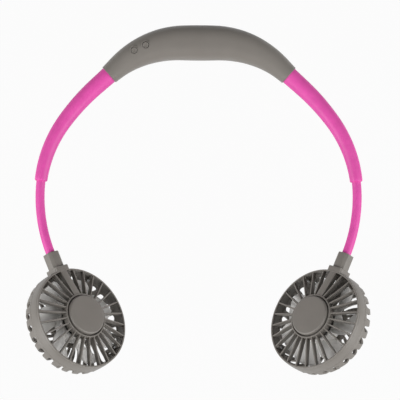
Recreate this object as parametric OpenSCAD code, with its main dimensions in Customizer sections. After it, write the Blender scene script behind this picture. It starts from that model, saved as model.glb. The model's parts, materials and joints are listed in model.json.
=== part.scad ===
// Hanging neck fan: an arched housing, two bendable arms and two round fan heads.
// It lies flat, with +Y towards the middle of the arch and +Z up.
// The origin is the middle of the housing's flat underside.

/* [Housing] */
// Half length of the straight middle of the arch
arch_flat = 11.2; // [9:0.1:14]
// Radius of the bend of the arch's middle line
arch_r = 70; // [66:0.5:76]
// Angle that each end of the arch turns through
arch_turn = 42; // [40:0.5:44]
// Length of the straight part from the bend to each mouth
mouth_len = 7; // [6:0.5:9]
// Width of the housing at its middle
housing_w = 24.8; // [24:0.1:28]
// Thickness of the housing at its middle, before its flat is cut
housing_h = 23.2; // [22.8:0.1:25]
// Height of the arch's middle line over the table
axis_z = 11; // [10.8:0.1:11.2]
// Outer diameter of the housing at each mouth
mouth_d = 14.2; // [14:0.1:15]
// Wall of the housing at its middle
shell_wall = 1.6; // [1.2:0.1:2]
// Wall of the housing at each mouth
mouth_wall = 0.65; // [0.5:0.05:0.7]

/* [Buttons] */
// Diameter of a push button
button_d = 4.6; // [4:0.1:5.2]
// Gap all round a button
button_gap = 0.15; // [0.1:0.05:0.3]
// Travel of a button
button_travel = 0.5; // [0.3:0.1:0.6]
// Place of the first button along the bend
button_turn = 21; // [20:0.5:22]
// Step from one button to the next along the bend
button_step = 7; // [6.5:0.5:8]
// Distance of the buttons from the arch's middle line
button_side = 2.8; // [2:0.1:3.2]
// Height of the raised ring round a button
button_ring_h = 0.35; // [0.2:0.05:0.6]

/* [Electronics] */
// Diameter of the battery cell
cell_d = 16.5; // [14:0.1:16.6]
// Turn of the bend at which the battery cell ends
cell_end_turn = 10.537; // [8:0.001:10.8]
// Thickness of the circuit board
board_t = 1.2; // [0.8:0.1:1.6]
// Width of the circuit board
board_w = 9.5; // [8.5:0.1:10]
// Width of the charging inlet
inlet_w = 7.5; // [7:0.1:8.5]
// Height of the charging inlet
inlet_h = 2.7; // [2.4:0.1:3]
// Length of the charging inlet
inlet_len = 5.6; // [5:0.1:6]

/* [Arms] */
// Angle by which the plane of each arm rises from the table
arm_lean = 10.33; // [10:0.01:11]
// Straight run out of the mouth
arm_run = 12.7; // [12:0.1:14]
// Radius of the first bend
bend_1_r = 150; // [145:1:160]
// Turn of the first bend
bend_1_turn = 12.7; // [12:0.1:13]
// Radius of the second bend
bend_2_r = 87; // [85:0.5:90]
// Turn of the second bend
bend_2_turn = 33.3; // [33:0.1:34]
// Radius of the third bend
bend_3_r = 109; // [107:0.5:111]
// Turn of the third bend
bend_3_turn = 24.6; // [24:0.1:25.5]
// Length of the thick sleeve outside the mouth
sleeve_len = 91; // [85:0.5:95]
// Diameter of the thick sleeve at the mouth
sleeve_d = 12.6; // [12.2:0.1:12.6]
// Diameter of the thick sleeve at its thin end
sleeve_end_d = 8.9; // [8.4:0.1:9.6]
// Diameter of the thin hose
hose_d = 6.4; // [6.2:0.1:6.6]
// Wall of the thin hose
hose_wall = 0.9; // [0.7:0.1:1]
// Diameter of the gooseneck wire in the hose
core_d = 2.2; // [1.8:0.1:2.4]
// Diameter of a lead
lead_d = 1.1; // [0.9:0.1:1.2]

/* [Fan neck] */
// Length of the fan neck
neck_len = 9.9; // [9:0.1:11]
// Width of the fan neck
neck_w = 9.7; // [9.4:0.1:9.8]
// Outer diameter of the swivel ferrule
ferrule_d = 7.2; // [7:0.1:7.4]
// Diameter of the ferrule's flange
ferrule_flange_d = 8.4; // [8:0.1:8.6]
// Running gap of the ferrule in the neck
swivel_gap = 0.08; // [0.05:0.01:0.1]
// Angle by which each head is turned inwards on its neck
swivel_rest = 46.7; // [45:0.1:48]

/* [Fan head] */
// Outer diameter of the head
head_d = 73.6; // [72:0.2:76]
// Depth of the head from its front rim to its back
head_depth = 19; // [18.6:0.1:21]
// Distance from the front rim back to the swivel's axis
rim_ahead = 6.5; // [6:0.1:7]
// Wall of the casing
case_wall = 1.3; // [1:0.1:1.6]
// Radius of the rounded back corner
back_corner_r = 6; // [4:0.5:7]
// How far the side wall draws in at the front rim
rim_draw = 0.6; // [0.2:0.1:1]
// Number of places for vanes round the grille, one of them the wide spoke
vane_count = 26; // [20:1:30]
// Thickness of a vane
vane_t = 0.9; // [0.7:0.1:1.2]
// Depth of a vane
vane_depth = 4.6; // [4:0.1:5]
// Height of the grille's hub over the front rim
hub_rise = 5; // [4:0.1:6]
// Outer diameter of the hub ring
hub_ring_d = 32; // [30:0.5:34]
// Groove between the hub cap and the hub ring
cap_gap = 0.9; // [0.3:0.1:1]
// Width of the wide spoke
spoke_w = 5.4; // [5:0.1:7]
// Number of slots in the rear cover
slot_count = 26; // [22:2:30]
// How far a slot turns round between the middle of the rear cover and its wall
slot_swirl = 28; // [0:1:36]
// Diameter of the solid middle of the rear cover
back_disc_d = 32; // [28:1:36]

/* [Impeller] */
// Number of blades
blade_count = 7; // [5:1:9]
// Gap between the tips of the blades and the bosses of the casing
blade_gap = 1; // [0.8:0.1:3]
// Diameter of the impeller's hub
impeller_hub_d = 28.6; // [27.5:0.1:29.5]
// Thickness of a blade
blade_t = 1.1; // [0.9:0.1:1.4]
// Diameter of the motor
motor_d = 22; // [20:0.5:22.5]
// Length of the motor
motor_len = 12; // [10:0.5:12.5]
// Diameter of the motor's shaft
shaft_d = 2; // [1.5:0.1:2.5]

/* [Hidden] */

// Shared clearances and small sizes
overrun = 0.6;
seat_gap = 0.1;
soft_gap = 0.15;
body_gray = "#807c78";
pink = "#e254ac";
pale_gray = "#b9b5b0";
steel = "#a8a8ac";

// Sides of the smooth skins
shell_sides = 28;
cavity_sides = 20;
sleeve_sides = 20;
round_sides = 64;
arc_sides = 180;

// Arch of the housing
arch_len = arch_flat + arch_r * arch_turn * PI / 180 + mouth_len;
mouth_x = arch_flat + arch_r * sin(arch_turn) + mouth_len * cos(arch_turn);
mouth_y = -arch_r * (1 - cos(arch_turn)) - mouth_len * sin(arch_turn);
swell_power = 1.35;
roundness = 2;
extra_squareness = 0.6;
arch_steps = 40;
cavity_steps = 32;

// Screws of the housing
screw_r = 0.8;
screw_head_r = 1.6;
screw_head_h = 1;
screw_head_z = 4;
screw_len = 12.5;
boss_r = 2.6;
screw_inner_turn = 17;
screw_inner_side = -5.75;
screw_outer_turn = 33;

// Board, switches and inlet
board_rise = 1.3;
board_z = axis_z + board_rise;
board_from_turn = 13.6;
board_to_turn = 31;
board_side = 1.75;
board_post_r = 1.5;
board_post_inset_turn = 2;
inlet_inset = 0.5;
switch_w = 4;
switch_h = 1.6;
switch_knob_r = 1;
switch_knob_h = 0.5;
inlet_turn = 24;
inlet_wall = 0.3;
chip_w = 3.2;
chip_h = 1;

// Buttons, from the board upwards
button_guide_wall = 0.6;
button_guide_rise = 6.3;
button_guide_z = axis_z + button_guide_rise;
button_flange_h = 0.8;
button_flange_extra = 0.7;
button_flange_r = button_d / 2 + button_flange_extra;
button_stem_r = 1.2;

// Battery cell and cradle
cell_len = 2 * (arch_flat + arch_r * sin(cell_end_turn));
cell_y = -0.6;
cradle_wall = 0.65;
cradle_end = 1.2;
cell_nub_r = 2.5;
cell_nub_h = 0.6;
battery_lead_len = 5.5;
battery_lead_step = 3;
battery_lead_y = -2;

// Root of the arm
root_len = 8;
flange_t = 1.8;
flange_extra = 0.35;
anchor_len = 4.6;
anchor_r = 6.6;
hose_tail = 1.3;
lead_tail = 0.4;
lip_len = 1.1;
lip_drop = 0.55;
core_side = -0.9;
lead_rise = 1.2;
lead_side = 0.65;
sleeve_steps = 26;
rod_steps = 36;
hose_sides = 16;
core_sides = 8;
lead_sides = 6;

// Lengths of the arm's bends
bend_1_len = bend_1_r * bend_1_turn * PI / 180;
bend_2_len = bend_2_r * bend_2_turn * PI / 180;
bend_3_len = bend_3_r * bend_3_turn * PI / 180;

arm_len = arm_run + bend_1_len + bend_2_len + bend_3_len;
hose_tail_len = root_len + anchor_len + hose_tail;

// Neck and swivel
hose_in_ferrule = 4;
ferrule_len = 9;
ferrule_flange_t = 1.4;
neck_lip = 1.6;
neck_shoulder_w = 10.8;
neck_shoulder_back = 5.6;
neck_shoulder_top_y = 39.4;
neck_bevel = 2;
neck_spigot_r = 4.6;
neck_foot_y = 40.9;
neck_axis_drop = neck_foot_y + neck_len;

// Head
head_r = head_d / 2;
back_z = rim_ahead - head_depth;
rim_band = 1.5;
ring_behind = 1.2;
ring_front_z = rim_ahead - rim_band;
ring_back_z = -ring_behind;
bulge_steps = 5;
corner_steps = 6;
swirl_steps = 5;
rim_lip = 1.1;
vane_out_r = head_r - rim_draw - rim_lip;
hub_ring_r = hub_ring_d / 2;
hub_ring_wall = 1;
hub_ring_h = 5;
hub_front_z = rim_ahead + hub_rise;
motor_plate_t = 1.2;
motor_drop = 3.6;
motor_front_z = hub_front_z - motor_drop;
motor_back_z = motor_front_z - motor_len;
motor_skirt_h = 6;
motor_skirt_wall = 1;
cap_r = hub_ring_r - hub_ring_wall - cap_gap;
cap_proud = 2;
cap_t = 1.3;
cap_edge_r = 1.2;
hub_cap_seat = 1.2;
slot_share = 0.5;
slot_lag = 3;
slot_rise = 9;
slot_top_z = back_z + slot_rise;
back_wall = 1.5;
case_boss_r = 1.6;
case_boss_drop = 0.8;
case_boss_h = 2.6;
case_boss_at_r = head_r - case_wall - case_boss_r + 2 * seat_gap;
case_boss_front_z = rim_ahead - case_boss_drop;
impeller_d = 2 * (case_boss_at_r - case_boss_r - blade_gap);
shoulder_from_y = head_r - case_wall;
shoulder_front_z = ring_front_z;
slots_by_neck = 1;
case_screw_r = 0.7;
case_screw_head_r = 1.3;
case_screw_head_h = 0.8;
case_screw_recess = 2;
case_screw_hold = 1.4;
case_screw_shares = [0.115, 0.385, 0.615, 0.885];
motor_screw_r = 0.7;
motor_screw_at_r = 6;
motor_screw_head_h = 0.7;
motor_screw_len = 3;
shaft_gap = 0.05;
hub_floor_t = 1.6;
hub_back_z = -8.6;
hub_skirt_front_z = 1.6;
hub_boss_gap = 0.5;
hub_skirt_wall = 1;
hub_boss_r = 2.8;
blade_front_z = 1.2;
blade_drop = 8.6;
blade_tip_drop = 7.2;
blade_root_turn = 40;
blade_tip_turn = 47;
blade_sweep_turn = 16;
blade_sink = 0.4;
blade_camber_share = 0.12;
blade_narrow_share = 0.35;
blade_rows = 6;
blade_cols = 5;
spoke_t = 1.2;
spoke_depth = 4.6;
vane_taper = 1;
vane_sink = 0.3;
vane_tip_z = ring_front_z + 2 * seat_gap;
lead_under = 3;
lead_hub_gap = 0.9;

// Sign of a number, with zero taken as positive
function side_of(v) = v < 0 ? -1 : 1;

// Place and turn of the arch's middle line at a distance from its middle
function arch_spot(s) =
    let (a = abs(s), on_bend = min(max(a - arch_flat, 0), arch_len - arch_flat - mouth_len),
         turn = on_bend / arch_r * 180 / PI, past = max(a - arch_len + mouth_len, 0))
    [side_of(s) * (min(a, arch_flat) + arch_r * sin(turn) + past * cos(turn)),
     -arch_r * (1 - cos(turn)) - past * sin(turn),
     side_of(s) * turn];

// Swell of the housing: 1 at its middle, 0 at its mouths
function swell(s) = pow(max(1 - pow(s / arch_len, 2), 0), swell_power);
function half_w(s) = mouth_d / 2 + (housing_w - mouth_d) / 2 * swell(s);
function half_h(s) = mouth_d / 2 + (housing_h - mouth_d) / 2 * swell(s);
function wall_at(s) = mouth_wall + (shell_wall - mouth_wall) * swell(s);
function squareness(s) = roundness + extra_squareness * swell(s);

// One ring of the housing, drawn in by an inset
function arch_ring(s, inset, sides) =
    let (spot = arch_spot(s), turn = spot[2], w = half_w(s) - inset, h = half_h(s) - inset,
         power = 2 / squareness(s))
    [for (i = [0 : sides - 1])
        let (c = cos(360 * i / sides), v = sin(360 * i / sides),
             across = w * side_of(c) * pow(abs(c), power),
             up = h * side_of(v) * pow(abs(v), power))
        [spot[0] + across * sin(turn), spot[1] + across * cos(turn), axis_z + up]];

// Height of the housing's top over the arch's middle line, at a distance to its side
function top_over(s, side) =
    half_h(s) * pow(1 - pow(abs(side) / half_w(s), squareness(s)), 1 / squareness(s));

// A point given by its turn along the bend and its distance to the side of the middle line
function bend_point(turn, side) =
    [arch_flat + (arch_r + side) * sin(turn), (arch_r + side) * cos(turn) - arch_r];
function bend_s(turn) = arch_flat + arch_r * turn * PI / 180;

// Faces of a skin over rings of equal length, all triangles
function skin_faces(rows, n, first) =
    [for (j = [0 : rows - 2], i = [0 : n - 1])
        let (a = first + j * n + i, b = first + j * n + (i + 1) % n)
        each [[a, a + n, b], [b, a + n, b + n]]];
function turned(faces) = [for (f = faces) [f[2], f[1], f[0]]];

// A closed skin over rings
module skin(rings) {
    n = len(rings[0]);
    rows = len(rings);
    polyhedron(points = [for (ring = rings) each ring],
               faces = concat(skin_faces(rows, n, 0),
                              [[for (i = [0 : n - 1]) i]],
                              [[for (i = [n - 1 : -1 : 0]) (rows - 1) * n + i]]));
}

// A tube with an outer and an inner skin
module tube_skin(outer, inner) {
    n = len(outer[0]);
    rows = len(outer);
    all = rows * n;
    last = (rows - 1) * n;
    polyhedron(points = concat([for (ring = outer) each ring], [for (ring = inner) each ring]),
               faces = concat(skin_faces(rows, n, 0), turned(skin_faces(rows, n, all)),
                              [for (i = [0 : n - 1]) let (k = (i + 1) % n)
                                  each [[i, k, all + i], [k, all + k, all + i]]],
                              [for (i = [0 : n - 1]) let (k = (i + 1) % n)
                                  each [[last + i, all + last + i, last + k],
                                        [last + k, all + last + i, all + last + k]]]));
}

// The whole outer form of the housing, with its flat underside
module housing_form() {
    difference() {
        skin([for (i = [0 : arch_steps])
            arch_ring(-arch_len + 2 * arch_len * i / arch_steps, 0, shell_sides)]);
        translate([-mouth_x, mouth_y - housing_w, -housing_h])
            cube([2 * mouth_x, 2 * housing_w - mouth_y, housing_h]);
    }
}

// The hollow of the housing, open at both mouths
module housing_hollow() {
    reach = arch_len + overrun;
    skin([for (i = [0 : cavity_steps])
        let (s = -reach + 2 * reach * i / cavity_steps)
        arch_ring(s, wall_at(s), cavity_sides)]);
}

module above_split() {
    translate([-mouth_x - mouth_d, mouth_y - housing_w, axis_z])
        cube([2 * (mouth_x + mouth_d), 2 * housing_w - mouth_y, housing_h]);
}

module below_split() {
    translate([-mouth_x - mouth_d, mouth_y - housing_w, axis_z - housing_h])
        cube([2 * (mouth_x + mouth_d), 2 * housing_w - mouth_y, housing_h]);
}

// Puts its children at each screw of the housing
module at_housing_screws() {
    for (m = [0, 1]) mirror([m, 0, 0]) {
        translate(bend_point(screw_inner_turn, screw_inner_side)) children();
        translate(bend_point(screw_outer_turn, 0)) children();
    }
}

// Puts its children on the axis of one button
module at_button(i) {
    mirror([1, 0, 0])
        translate(bend_point(button_turn + i * button_step, button_side)) children();
}

function button_top(i) =
    axis_z + top_over(bend_s(button_turn + i * button_step), button_side);

// The body of the inlet, from inside the board's edge out to the housing's convex side
module inlet_block(grow, reach) {
    mirror([1, 0, 0])
        translate(concat(bend_point(inlet_turn, 0), [board_z - inlet_h / 2]))
            rotate([0, 0, -inlet_turn])
                translate([-inlet_w / 2 - grow, inlet_from_side, -inlet_h / 2 - grow])
                    cube([inlet_w + 2 * grow, reach, inlet_h + 2 * grow]);
}
inlet_from_side = half_w(bend_s(inlet_turn)) - inlet_len - inlet_inset;

module upper_shell() {
    color(body_gray) difference() {
        union() {
            intersection() {
                housing_form();
                above_split();
            }
            for (i = [0, 1]) at_button(i)
                translate([0, 0, button_guide_z])
                    cylinder(r = button_d / 2 + button_gap + button_guide_wall,
                             h = button_top(i) + button_ring_h - button_guide_z,
                             $fn = round_sides);
        }
        difference() {
            housing_hollow();
            at_housing_screws() translate([0, 0, axis_z])
                cylinder(r = boss_r, h = housing_h, $fn = round_sides);
            for (i = [0, 1]) at_button(i) translate([0, 0, button_guide_z])
                cylinder(r = button_d / 2 + button_gap + button_guide_wall, h = housing_h,
                         $fn = round_sides);
        }
        at_housing_screws() translate([0, 0, axis_z - overrun])
            cylinder(r = screw_r + seat_gap / 4, h = screw_len + screw_head_z - axis_z + 2 * overrun,
                     $fn = round_sides);
        for (i = [0, 1]) at_button(i) translate([0, 0, button_guide_z - overrun])
            cylinder(r = button_d / 2 + button_gap, h = housing_h, $fn = round_sides);
        inlet_block(seat_gap, inlet_len + shell_wall);
    }
}

module lower_shell() {
    color(body_gray) difference() {
        intersection() {
            housing_form();
            below_split();
        }
        difference() {
            housing_hollow();
            at_housing_screws() cylinder(r = boss_r, h = axis_z, $fn = round_sides);
            mirror([1, 0, 0]) for (turn = [board_from_turn + board_post_inset_turn,
                                           board_to_turn - board_post_inset_turn])
                translate(bend_point(turn, 0))
                    cylinder(r = board_post_r, h = axis_z, $fn = round_sides);
        }
        at_housing_screws() {
            translate([0, 0, -overrun])
                cylinder(r = screw_head_r + 2 * seat_gap, h = screw_head_z + screw_head_h + overrun,
                         $fn = round_sides);
            cylinder(r = screw_r + seat_gap, h = axis_z + overrun, $fn = round_sides);
        }
        inlet_block(seat_gap, inlet_len + shell_wall);
    }
}

module battery_cell() {
    color("#3f7fb5") translate([-cell_len / 2, cell_y, axis_z]) rotate([0, 90, 0]) {
        cylinder(d = cell_d, h = cell_len, $fn = round_sides);
        cylinder(r = cell_nub_r, h = cell_len + cell_nub_h, $fn = round_sides);
    }
}

// A half trough under the cell, closed at both ends
module battery_cradle() {
    trough = cell_d / 2 + seat_gap;
    half = cell_len / 2 + cell_nub_h + seat_gap;
    color("#d8d4cc") difference() {
        translate([-half - cradle_end, cell_y, axis_z]) rotate([0, 90, 0])
            cylinder(r = trough + cradle_wall, h = 2 * (half + cradle_end), $fn = round_sides);
        translate([-half, cell_y, axis_z]) rotate([0, 90, 0])
            cylinder(r = trough, h = 2 * half, $fn = round_sides);
        translate([-half - cradle_end - overrun, cell_y - cell_d, axis_z - cell_d / 4])
            cube([2 * (half + cradle_end + overrun), 2 * cell_d, cell_d]);
    }
}

module circuit_board() {
    low = arch_r + board_side - board_w / 2;
    color("#2f6b3c") mirror([1, 0, 0]) translate([arch_flat, -arch_r, board_z]) {
        rotate([0, 0, 90 - board_to_turn])
            rotate_extrude(angle = board_to_turn - board_from_turn, $fn = arc_sides)
                translate([low, 0]) square([board_w, board_t]);
        rotate([0, 0, 90 - button_turn - button_step / 2])
            translate([arch_r - chip_w / 2, -chip_w / 2, board_t])
                cube([chip_w, chip_w, chip_h]);
    }
}

module tact_switches() {
    color("#2c2c2e") for (i = [0, 1]) at_button(i)
        rotate([0, 0, -button_turn - i * button_step]) {
            translate([-switch_w / 2, -switch_w / 2, board_z + board_t])
                cube([switch_w, switch_w, switch_h]);
            translate([0, 0, board_z + board_t + switch_h])
                cylinder(r = switch_knob_r, h = switch_knob_h, $fn = round_sides);
        }
}

module charging_inlet() {
    color(steel) difference() {
        inlet_block(0, inlet_len);
        inlet_bore();
    }
}

// The mouth of the inlet and its tongue
module inlet_bore() {
    mirror([1, 0, 0])
        translate(concat(bend_point(inlet_turn, 0), [board_z - inlet_h / 2]))
            rotate([0, 0, -inlet_turn]) difference() {
                translate([-inlet_w / 2 + inlet_wall, inlet_from_side + 2 * inlet_wall,
                           -inlet_h / 2 + inlet_wall])
                    cube([inlet_w - 2 * inlet_wall, inlet_len, inlet_h - 2 * inlet_wall]);
                translate([-inlet_w / 4, inlet_from_side, inlet_wall / 2])
                    cube([inlet_w / 2, inlet_len - 2 * inlet_wall, 2 * inlet_wall]);
            }
}

// A push button with its captive flange and its stem
module push_button(i) {
    flange_z = button_guide_z - seat_gap - button_flange_h;
    stem_z = board_z + board_t + switch_h + switch_knob_h + button_travel + seat_gap;
    color("#6f6b67") at_button(i) {
        translate([0, 0, flange_z])
            cylinder(d = button_d, h = button_top(i) + button_ring_h - flange_z, $fn = round_sides);
        translate([0, 0, flange_z])
            cylinder(r = button_flange_r, h = button_flange_h, $fn = round_sides);
        translate([0, 0, stem_z])
            cylinder(r = button_stem_r, h = flange_z - stem_z, $fn = round_sides);
    }
}
module power_button() { push_button(0); }
module speed_button() { push_button(1); }

module housing_screws() {
    color(steel) at_housing_screws() translate([0, 0, screw_head_z]) {
        cylinder(r = screw_head_r, h = screw_head_h, $fn = round_sides);
        cylinder(r = screw_r, h = screw_len, $fn = round_sides);
    }
}

// Two leads from the left end of the cell to the board
module battery_leads() {
    lead_z = board_z + board_t + lead_d / 2 + seat_gap;
    color("#b03030") for (m = [0, 1])
        translate([-cell_len / 2 - seat_gap, battery_lead_y + m * battery_lead_step, lead_z])
            rotate([0, -90, 0]) cylinder(d = lead_d, h = battery_lead_len, $fn = round_sides / 2);
}

// Frames along the arm: at the mouth, after each bend, and at the head
module on_side(left) {
    if (left) mirror([1, 0, 0]) children();
    else children();
}
module at_mouth() {
    translate([mouth_x, mouth_y, axis_z]) rotate([0, 0, -arch_turn]) rotate([-arm_lean, 0, 0])
        children();
}
module past_bend(r, turn) {
    translate([0, -r, 0]) rotate([0, 0, -turn]) translate([0, r, 0]) children();
}
module at_bend_1() { translate([arm_run, 0, 0]) children(); }
module at_bend_2() { at_bend_1() past_bend(bend_1_r, bend_1_turn) children(); }
module at_bend_3() { at_bend_2() past_bend(bend_2_r, bend_2_turn) children(); }
module at_arm_end() { at_bend_3() past_bend(bend_3_r, bend_3_turn) children(); }
module at_head() {
    at_mouth() at_arm_end() translate([neck_axis_drop, 0, 0])
        rotate([swivel_rest, 0, 0]) rotate([0, 0, 90]) children();
}

// Place and turn of the arm's middle line, in the mouth's frame
function past_arc(spot, r, turn) =
    let (h = spot[2])
    [spot[0] + r * (sin(h + turn) - sin(h)), spot[1] - r * (cos(h) - cos(h + turn)), h + turn];
function arm_spot(s) =
    let (on_1 = min(max(s - arm_run, 0), bend_1_len),
         on_2 = min(max(s - arm_run - bend_1_len, 0), bend_2_len),
         on_3 = min(max(s - arm_run - bend_1_len - bend_2_len, 0), bend_3_len),
         past = max(s - arm_len, 0),
         a = past_arc([min(s, arm_run), 0, 0], bend_1_r, on_1 / bend_1_r * 180 / PI),
         b = past_arc(a, bend_2_r, on_2 / bend_2_r * 180 / PI),
         c = past_arc(b, bend_3_r, on_3 / bend_3_r * 180 / PI))
    [c[0] + past * cos(c[2]), c[1] - past * sin(c[2]), c[2]];

// A ring round the arm's middle line, or round a line to its side and above it
function arm_ring(s, r, sides, side = 0, up = 0) =
    let (spot = arm_spot(s))
    [for (i = [0 : sides - 1])
        let (t = -360 * i / sides, across = side + r * cos(t))
        [spot[0] + across * sin(spot[2]), spot[1] + across * cos(spot[2]), up + r * sin(t)]];

// Stations along the arm between two distances from the mouth
function arm_stations(from, to) =
    [for (i = [0 : rod_steps]) from + (to - from) * i / rod_steps];

// A solid rod along the arm
module arm_rod(rod_r, sides, side, up, from, to) {
    skin([for (s = arm_stations(from, to)) arm_ring(s, rod_r, sides, side, up)]);
}

function sleeve_r(s) = sleeve_d / 2 + (sleeve_end_d - sleeve_d) / 2 * max(s, 0) / sleeve_len;

// The thick sleeve: a flange held behind the mouth, a long taper and a rounded lip
module arm_sleeve() {
    stations = concat(
        [[-root_len, sleeve_d / 2 + flange_extra], [-root_len + flange_t, sleeve_d / 2 + flange_extra],
         [-root_len + flange_t, sleeve_d / 2]],
        [for (i = [0 : sleeve_steps]) let (s = (sleeve_len - lip_len) * i / sleeve_steps)
            [s, sleeve_r(s)]],
        [[sleeve_len - lip_len / 3, sleeve_end_d / 2 - lip_drop / 4],
         [sleeve_len, sleeve_end_d / 2 - lip_drop]]);
    bore_r = hose_d / 2 + soft_gap;
    color(pink) at_mouth()
        tube_skin([for (p = stations) arm_ring(p[0], p[1], sleeve_sides)],
                  [for (p = stations) arm_ring(p[0], bore_r, sleeve_sides)]);
}

module arm_anchor() {
    color("#4a4846") at_mouth() translate([-root_len - soft_gap - anchor_len, 0, 0])
        rotate([0, 90, 0]) difference() {
            cylinder(r = anchor_r, h = anchor_len, $fn = round_sides);
            translate([0, 0, -overrun])
                cylinder(d = hose_d + soft_gap, h = anchor_len + 2 * overrun, $fn = round_sides);
        }
}

module hose() {
    stations = arm_stations(-hose_tail_len, arm_len + hose_in_ferrule);
    color(pink) at_mouth()
        tube_skin([for (s = stations) arm_ring(s, hose_d / 2, hose_sides)],
                  [for (s = stations) arm_ring(s, hose_d / 2 - hose_wall, hose_sides)]);
}

module gooseneck_core() {
    color(steel) at_mouth()
        arm_rod(core_d / 2, core_sides, 0, core_side, -root_len - anchor_len,
                arm_len + hose_in_ferrule - seat_gap);
}

module hose_leads() {
    color("#2c2c2e") at_mouth() for (m = [-1, 1])
        arm_rod(lead_d / 2, lead_sides, m * lead_side, lead_rise, -hose_tail_len - lead_tail,
                arm_len + hose_in_ferrule + ferrule_len / 2);
}

// The ferrule turns in the fan neck about the end of the hose
module swivel_ferrule() {
    color(steel) at_mouth() at_arm_end() rotate([0, 90, 0]) difference() {
        union() {
            cylinder(d = ferrule_d, h = ferrule_len, $fn = round_sides);
            translate([0, 0, neck_lip + seat_gap])
                cylinder(d = ferrule_flange_d, h = ferrule_flange_t, $fn = round_sides);
        }
        translate([0, 0, -overrun])
            cylinder(d = hose_d + soft_gap, h = hose_in_ferrule + seat_gap + overrun,
                     $fn = round_sides);
        cylinder(d = hose_d - 2 * hose_wall, h = ferrule_len + overrun, $fn = round_sides);
    }
}

// In the frames below, +Y runs from the middle of the head to the neck and +Z is the head's front

// Outline of the neck's section: a square with its corners cut
module neck_section(w) {
    half = w / 2;
    cut = half - neck_bevel;
    polygon([[-cut, -half], [cut, -half], [half, -cut], [half, cut],
             [cut, half], [-cut, half], [-half, cut], [-half, -cut]]);
}

module fan_neck() {
    color(body_gray) at_head() rotate([-90, 0, 0]) difference() {
        union() {
            translate([0, 0, neck_foot_y]) linear_extrude(neck_len) neck_section(neck_w);
            translate([0, 0, shoulder_from_y]) neck_foot();
            translate([0, 0, vane_out_r])
                cylinder(r = neck_spigot_r, h = head_r + case_wall - vane_out_r, $fn = round_sides);
        }
        translate([0, 0, neck_axis_drop - ferrule_len - seat_gap])
            cylinder(d = ferrule_d + 2 * swivel_gap, h = ferrule_len + seat_gap + overrun,
                     $fn = round_sides);
        translate([0, 0, neck_axis_drop - neck_lip - ferrule_flange_t - 3 * seat_gap])
            cylinder(d = ferrule_flange_d + 4 * seat_gap, h = ferrule_flange_t + 3 * seat_gap,
                     $fn = round_sides);
        translate([0, 0, head_r - 4 * case_wall])
            cylinder(d = hose_d - 2 * hose_wall, h = neck_len + 2 * neck_foot_y,
                     $fn = round_sides);
    }
}

// The shoulder at the neck's foot, and the narrower foot that the neck stands on
module neck_foot() {
    translate([-neck_shoulder_w / 2, -shoulder_front_z, 0])
        cube([neck_shoulder_w, shoulder_front_z + neck_shoulder_back,
              neck_shoulder_top_y - shoulder_from_y]);
    linear_extrude(neck_foot_y - shoulder_from_y + overrun) neck_section(neck_w);
}

// Radius of the head's side wall at a height, drawn in towards the rim
function wall_r(z) = head_r - rim_draw * pow(max(z, 0) / rim_ahead, 2)
                     - rim_draw * pow(min(z, 0) / back_z, 2);

// A band of the side wall between two heights
module wall_band(low_z, high_z, wall) {
    rotate_extrude($fn = arc_sides)
        polygon(concat(
            [for (i = [0 : bulge_steps]) let (z = low_z + (high_z - low_z) * i / bulge_steps)
                [wall_r(z), z]],
            [for (i = [bulge_steps : -1 : 0]) let (z = low_z + (high_z - low_z) * i / bulge_steps)
                [wall_r(z) - wall, z]]));
}

// Puts its children at each screw of the casing
module at_case_screws() {
    for (share = case_screw_shares) rotate([0, 0, 90 + 360 * round(share * vane_count) / vane_count])
        translate([case_boss_at_r, 0, 0]) children();
}

module casing_ring() {
    color(body_gray) at_head() difference() {
        union() {
            wall_band(ring_back_z, ring_front_z, case_wall);
            intersection() {
                at_case_screws() translate([0, 0, ring_back_z])
                    cylinder(r = case_boss_r, h = case_boss_front_z - case_boss_h - ring_back_z,
                             $fn = round_sides);
                translate([0, 0, ring_back_z]) cylinder(r = head_r - case_wall / 2,
                    h = ring_front_z - ring_back_z, $fn = arc_sides);
            }
        }
        at_case_screws() translate([0, 0, ring_back_z - overrun])
            cylinder(r = case_screw_r + seat_gap, h = head_depth, $fn = round_sides);
        neck_seat(shoulder_from_y);
    }
}

// What the neck's spigot and shoulder take out of the casing
module neck_seat(from_y) {
    rotate([-90, 0, 0])
        cylinder(r = neck_spigot_r + seat_gap / 4, h = 2 * head_r, $fn = round_sides);
    translate([-neck_shoulder_w / 2, from_y, -neck_shoulder_back])
        cube([neck_shoulder_w, head_r, shoulder_front_z + neck_shoulder_back]);
}

// One vane, rising from the rim to the hub ring
module vane() {
    rotate([90, 0, 0]) translate([0, 0, -vane_t / 2]) linear_extrude(vane_t)
        polygon([[hub_ring_r - hub_ring_wall / 2, hub_front_z - vane_sink],
                 [vane_out_r + rim_lip / 2, rim_ahead - vane_sink],
                 [vane_out_r + rim_lip / 2, vane_tip_z],
                 [vane_out_r - seat_gap, vane_tip_z],
                 [vane_out_r - seat_gap, rim_ahead - vane_depth + vane_taper],
                 [hub_ring_r - hub_ring_wall / 2, hub_front_z - vane_depth]]);
}

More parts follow.
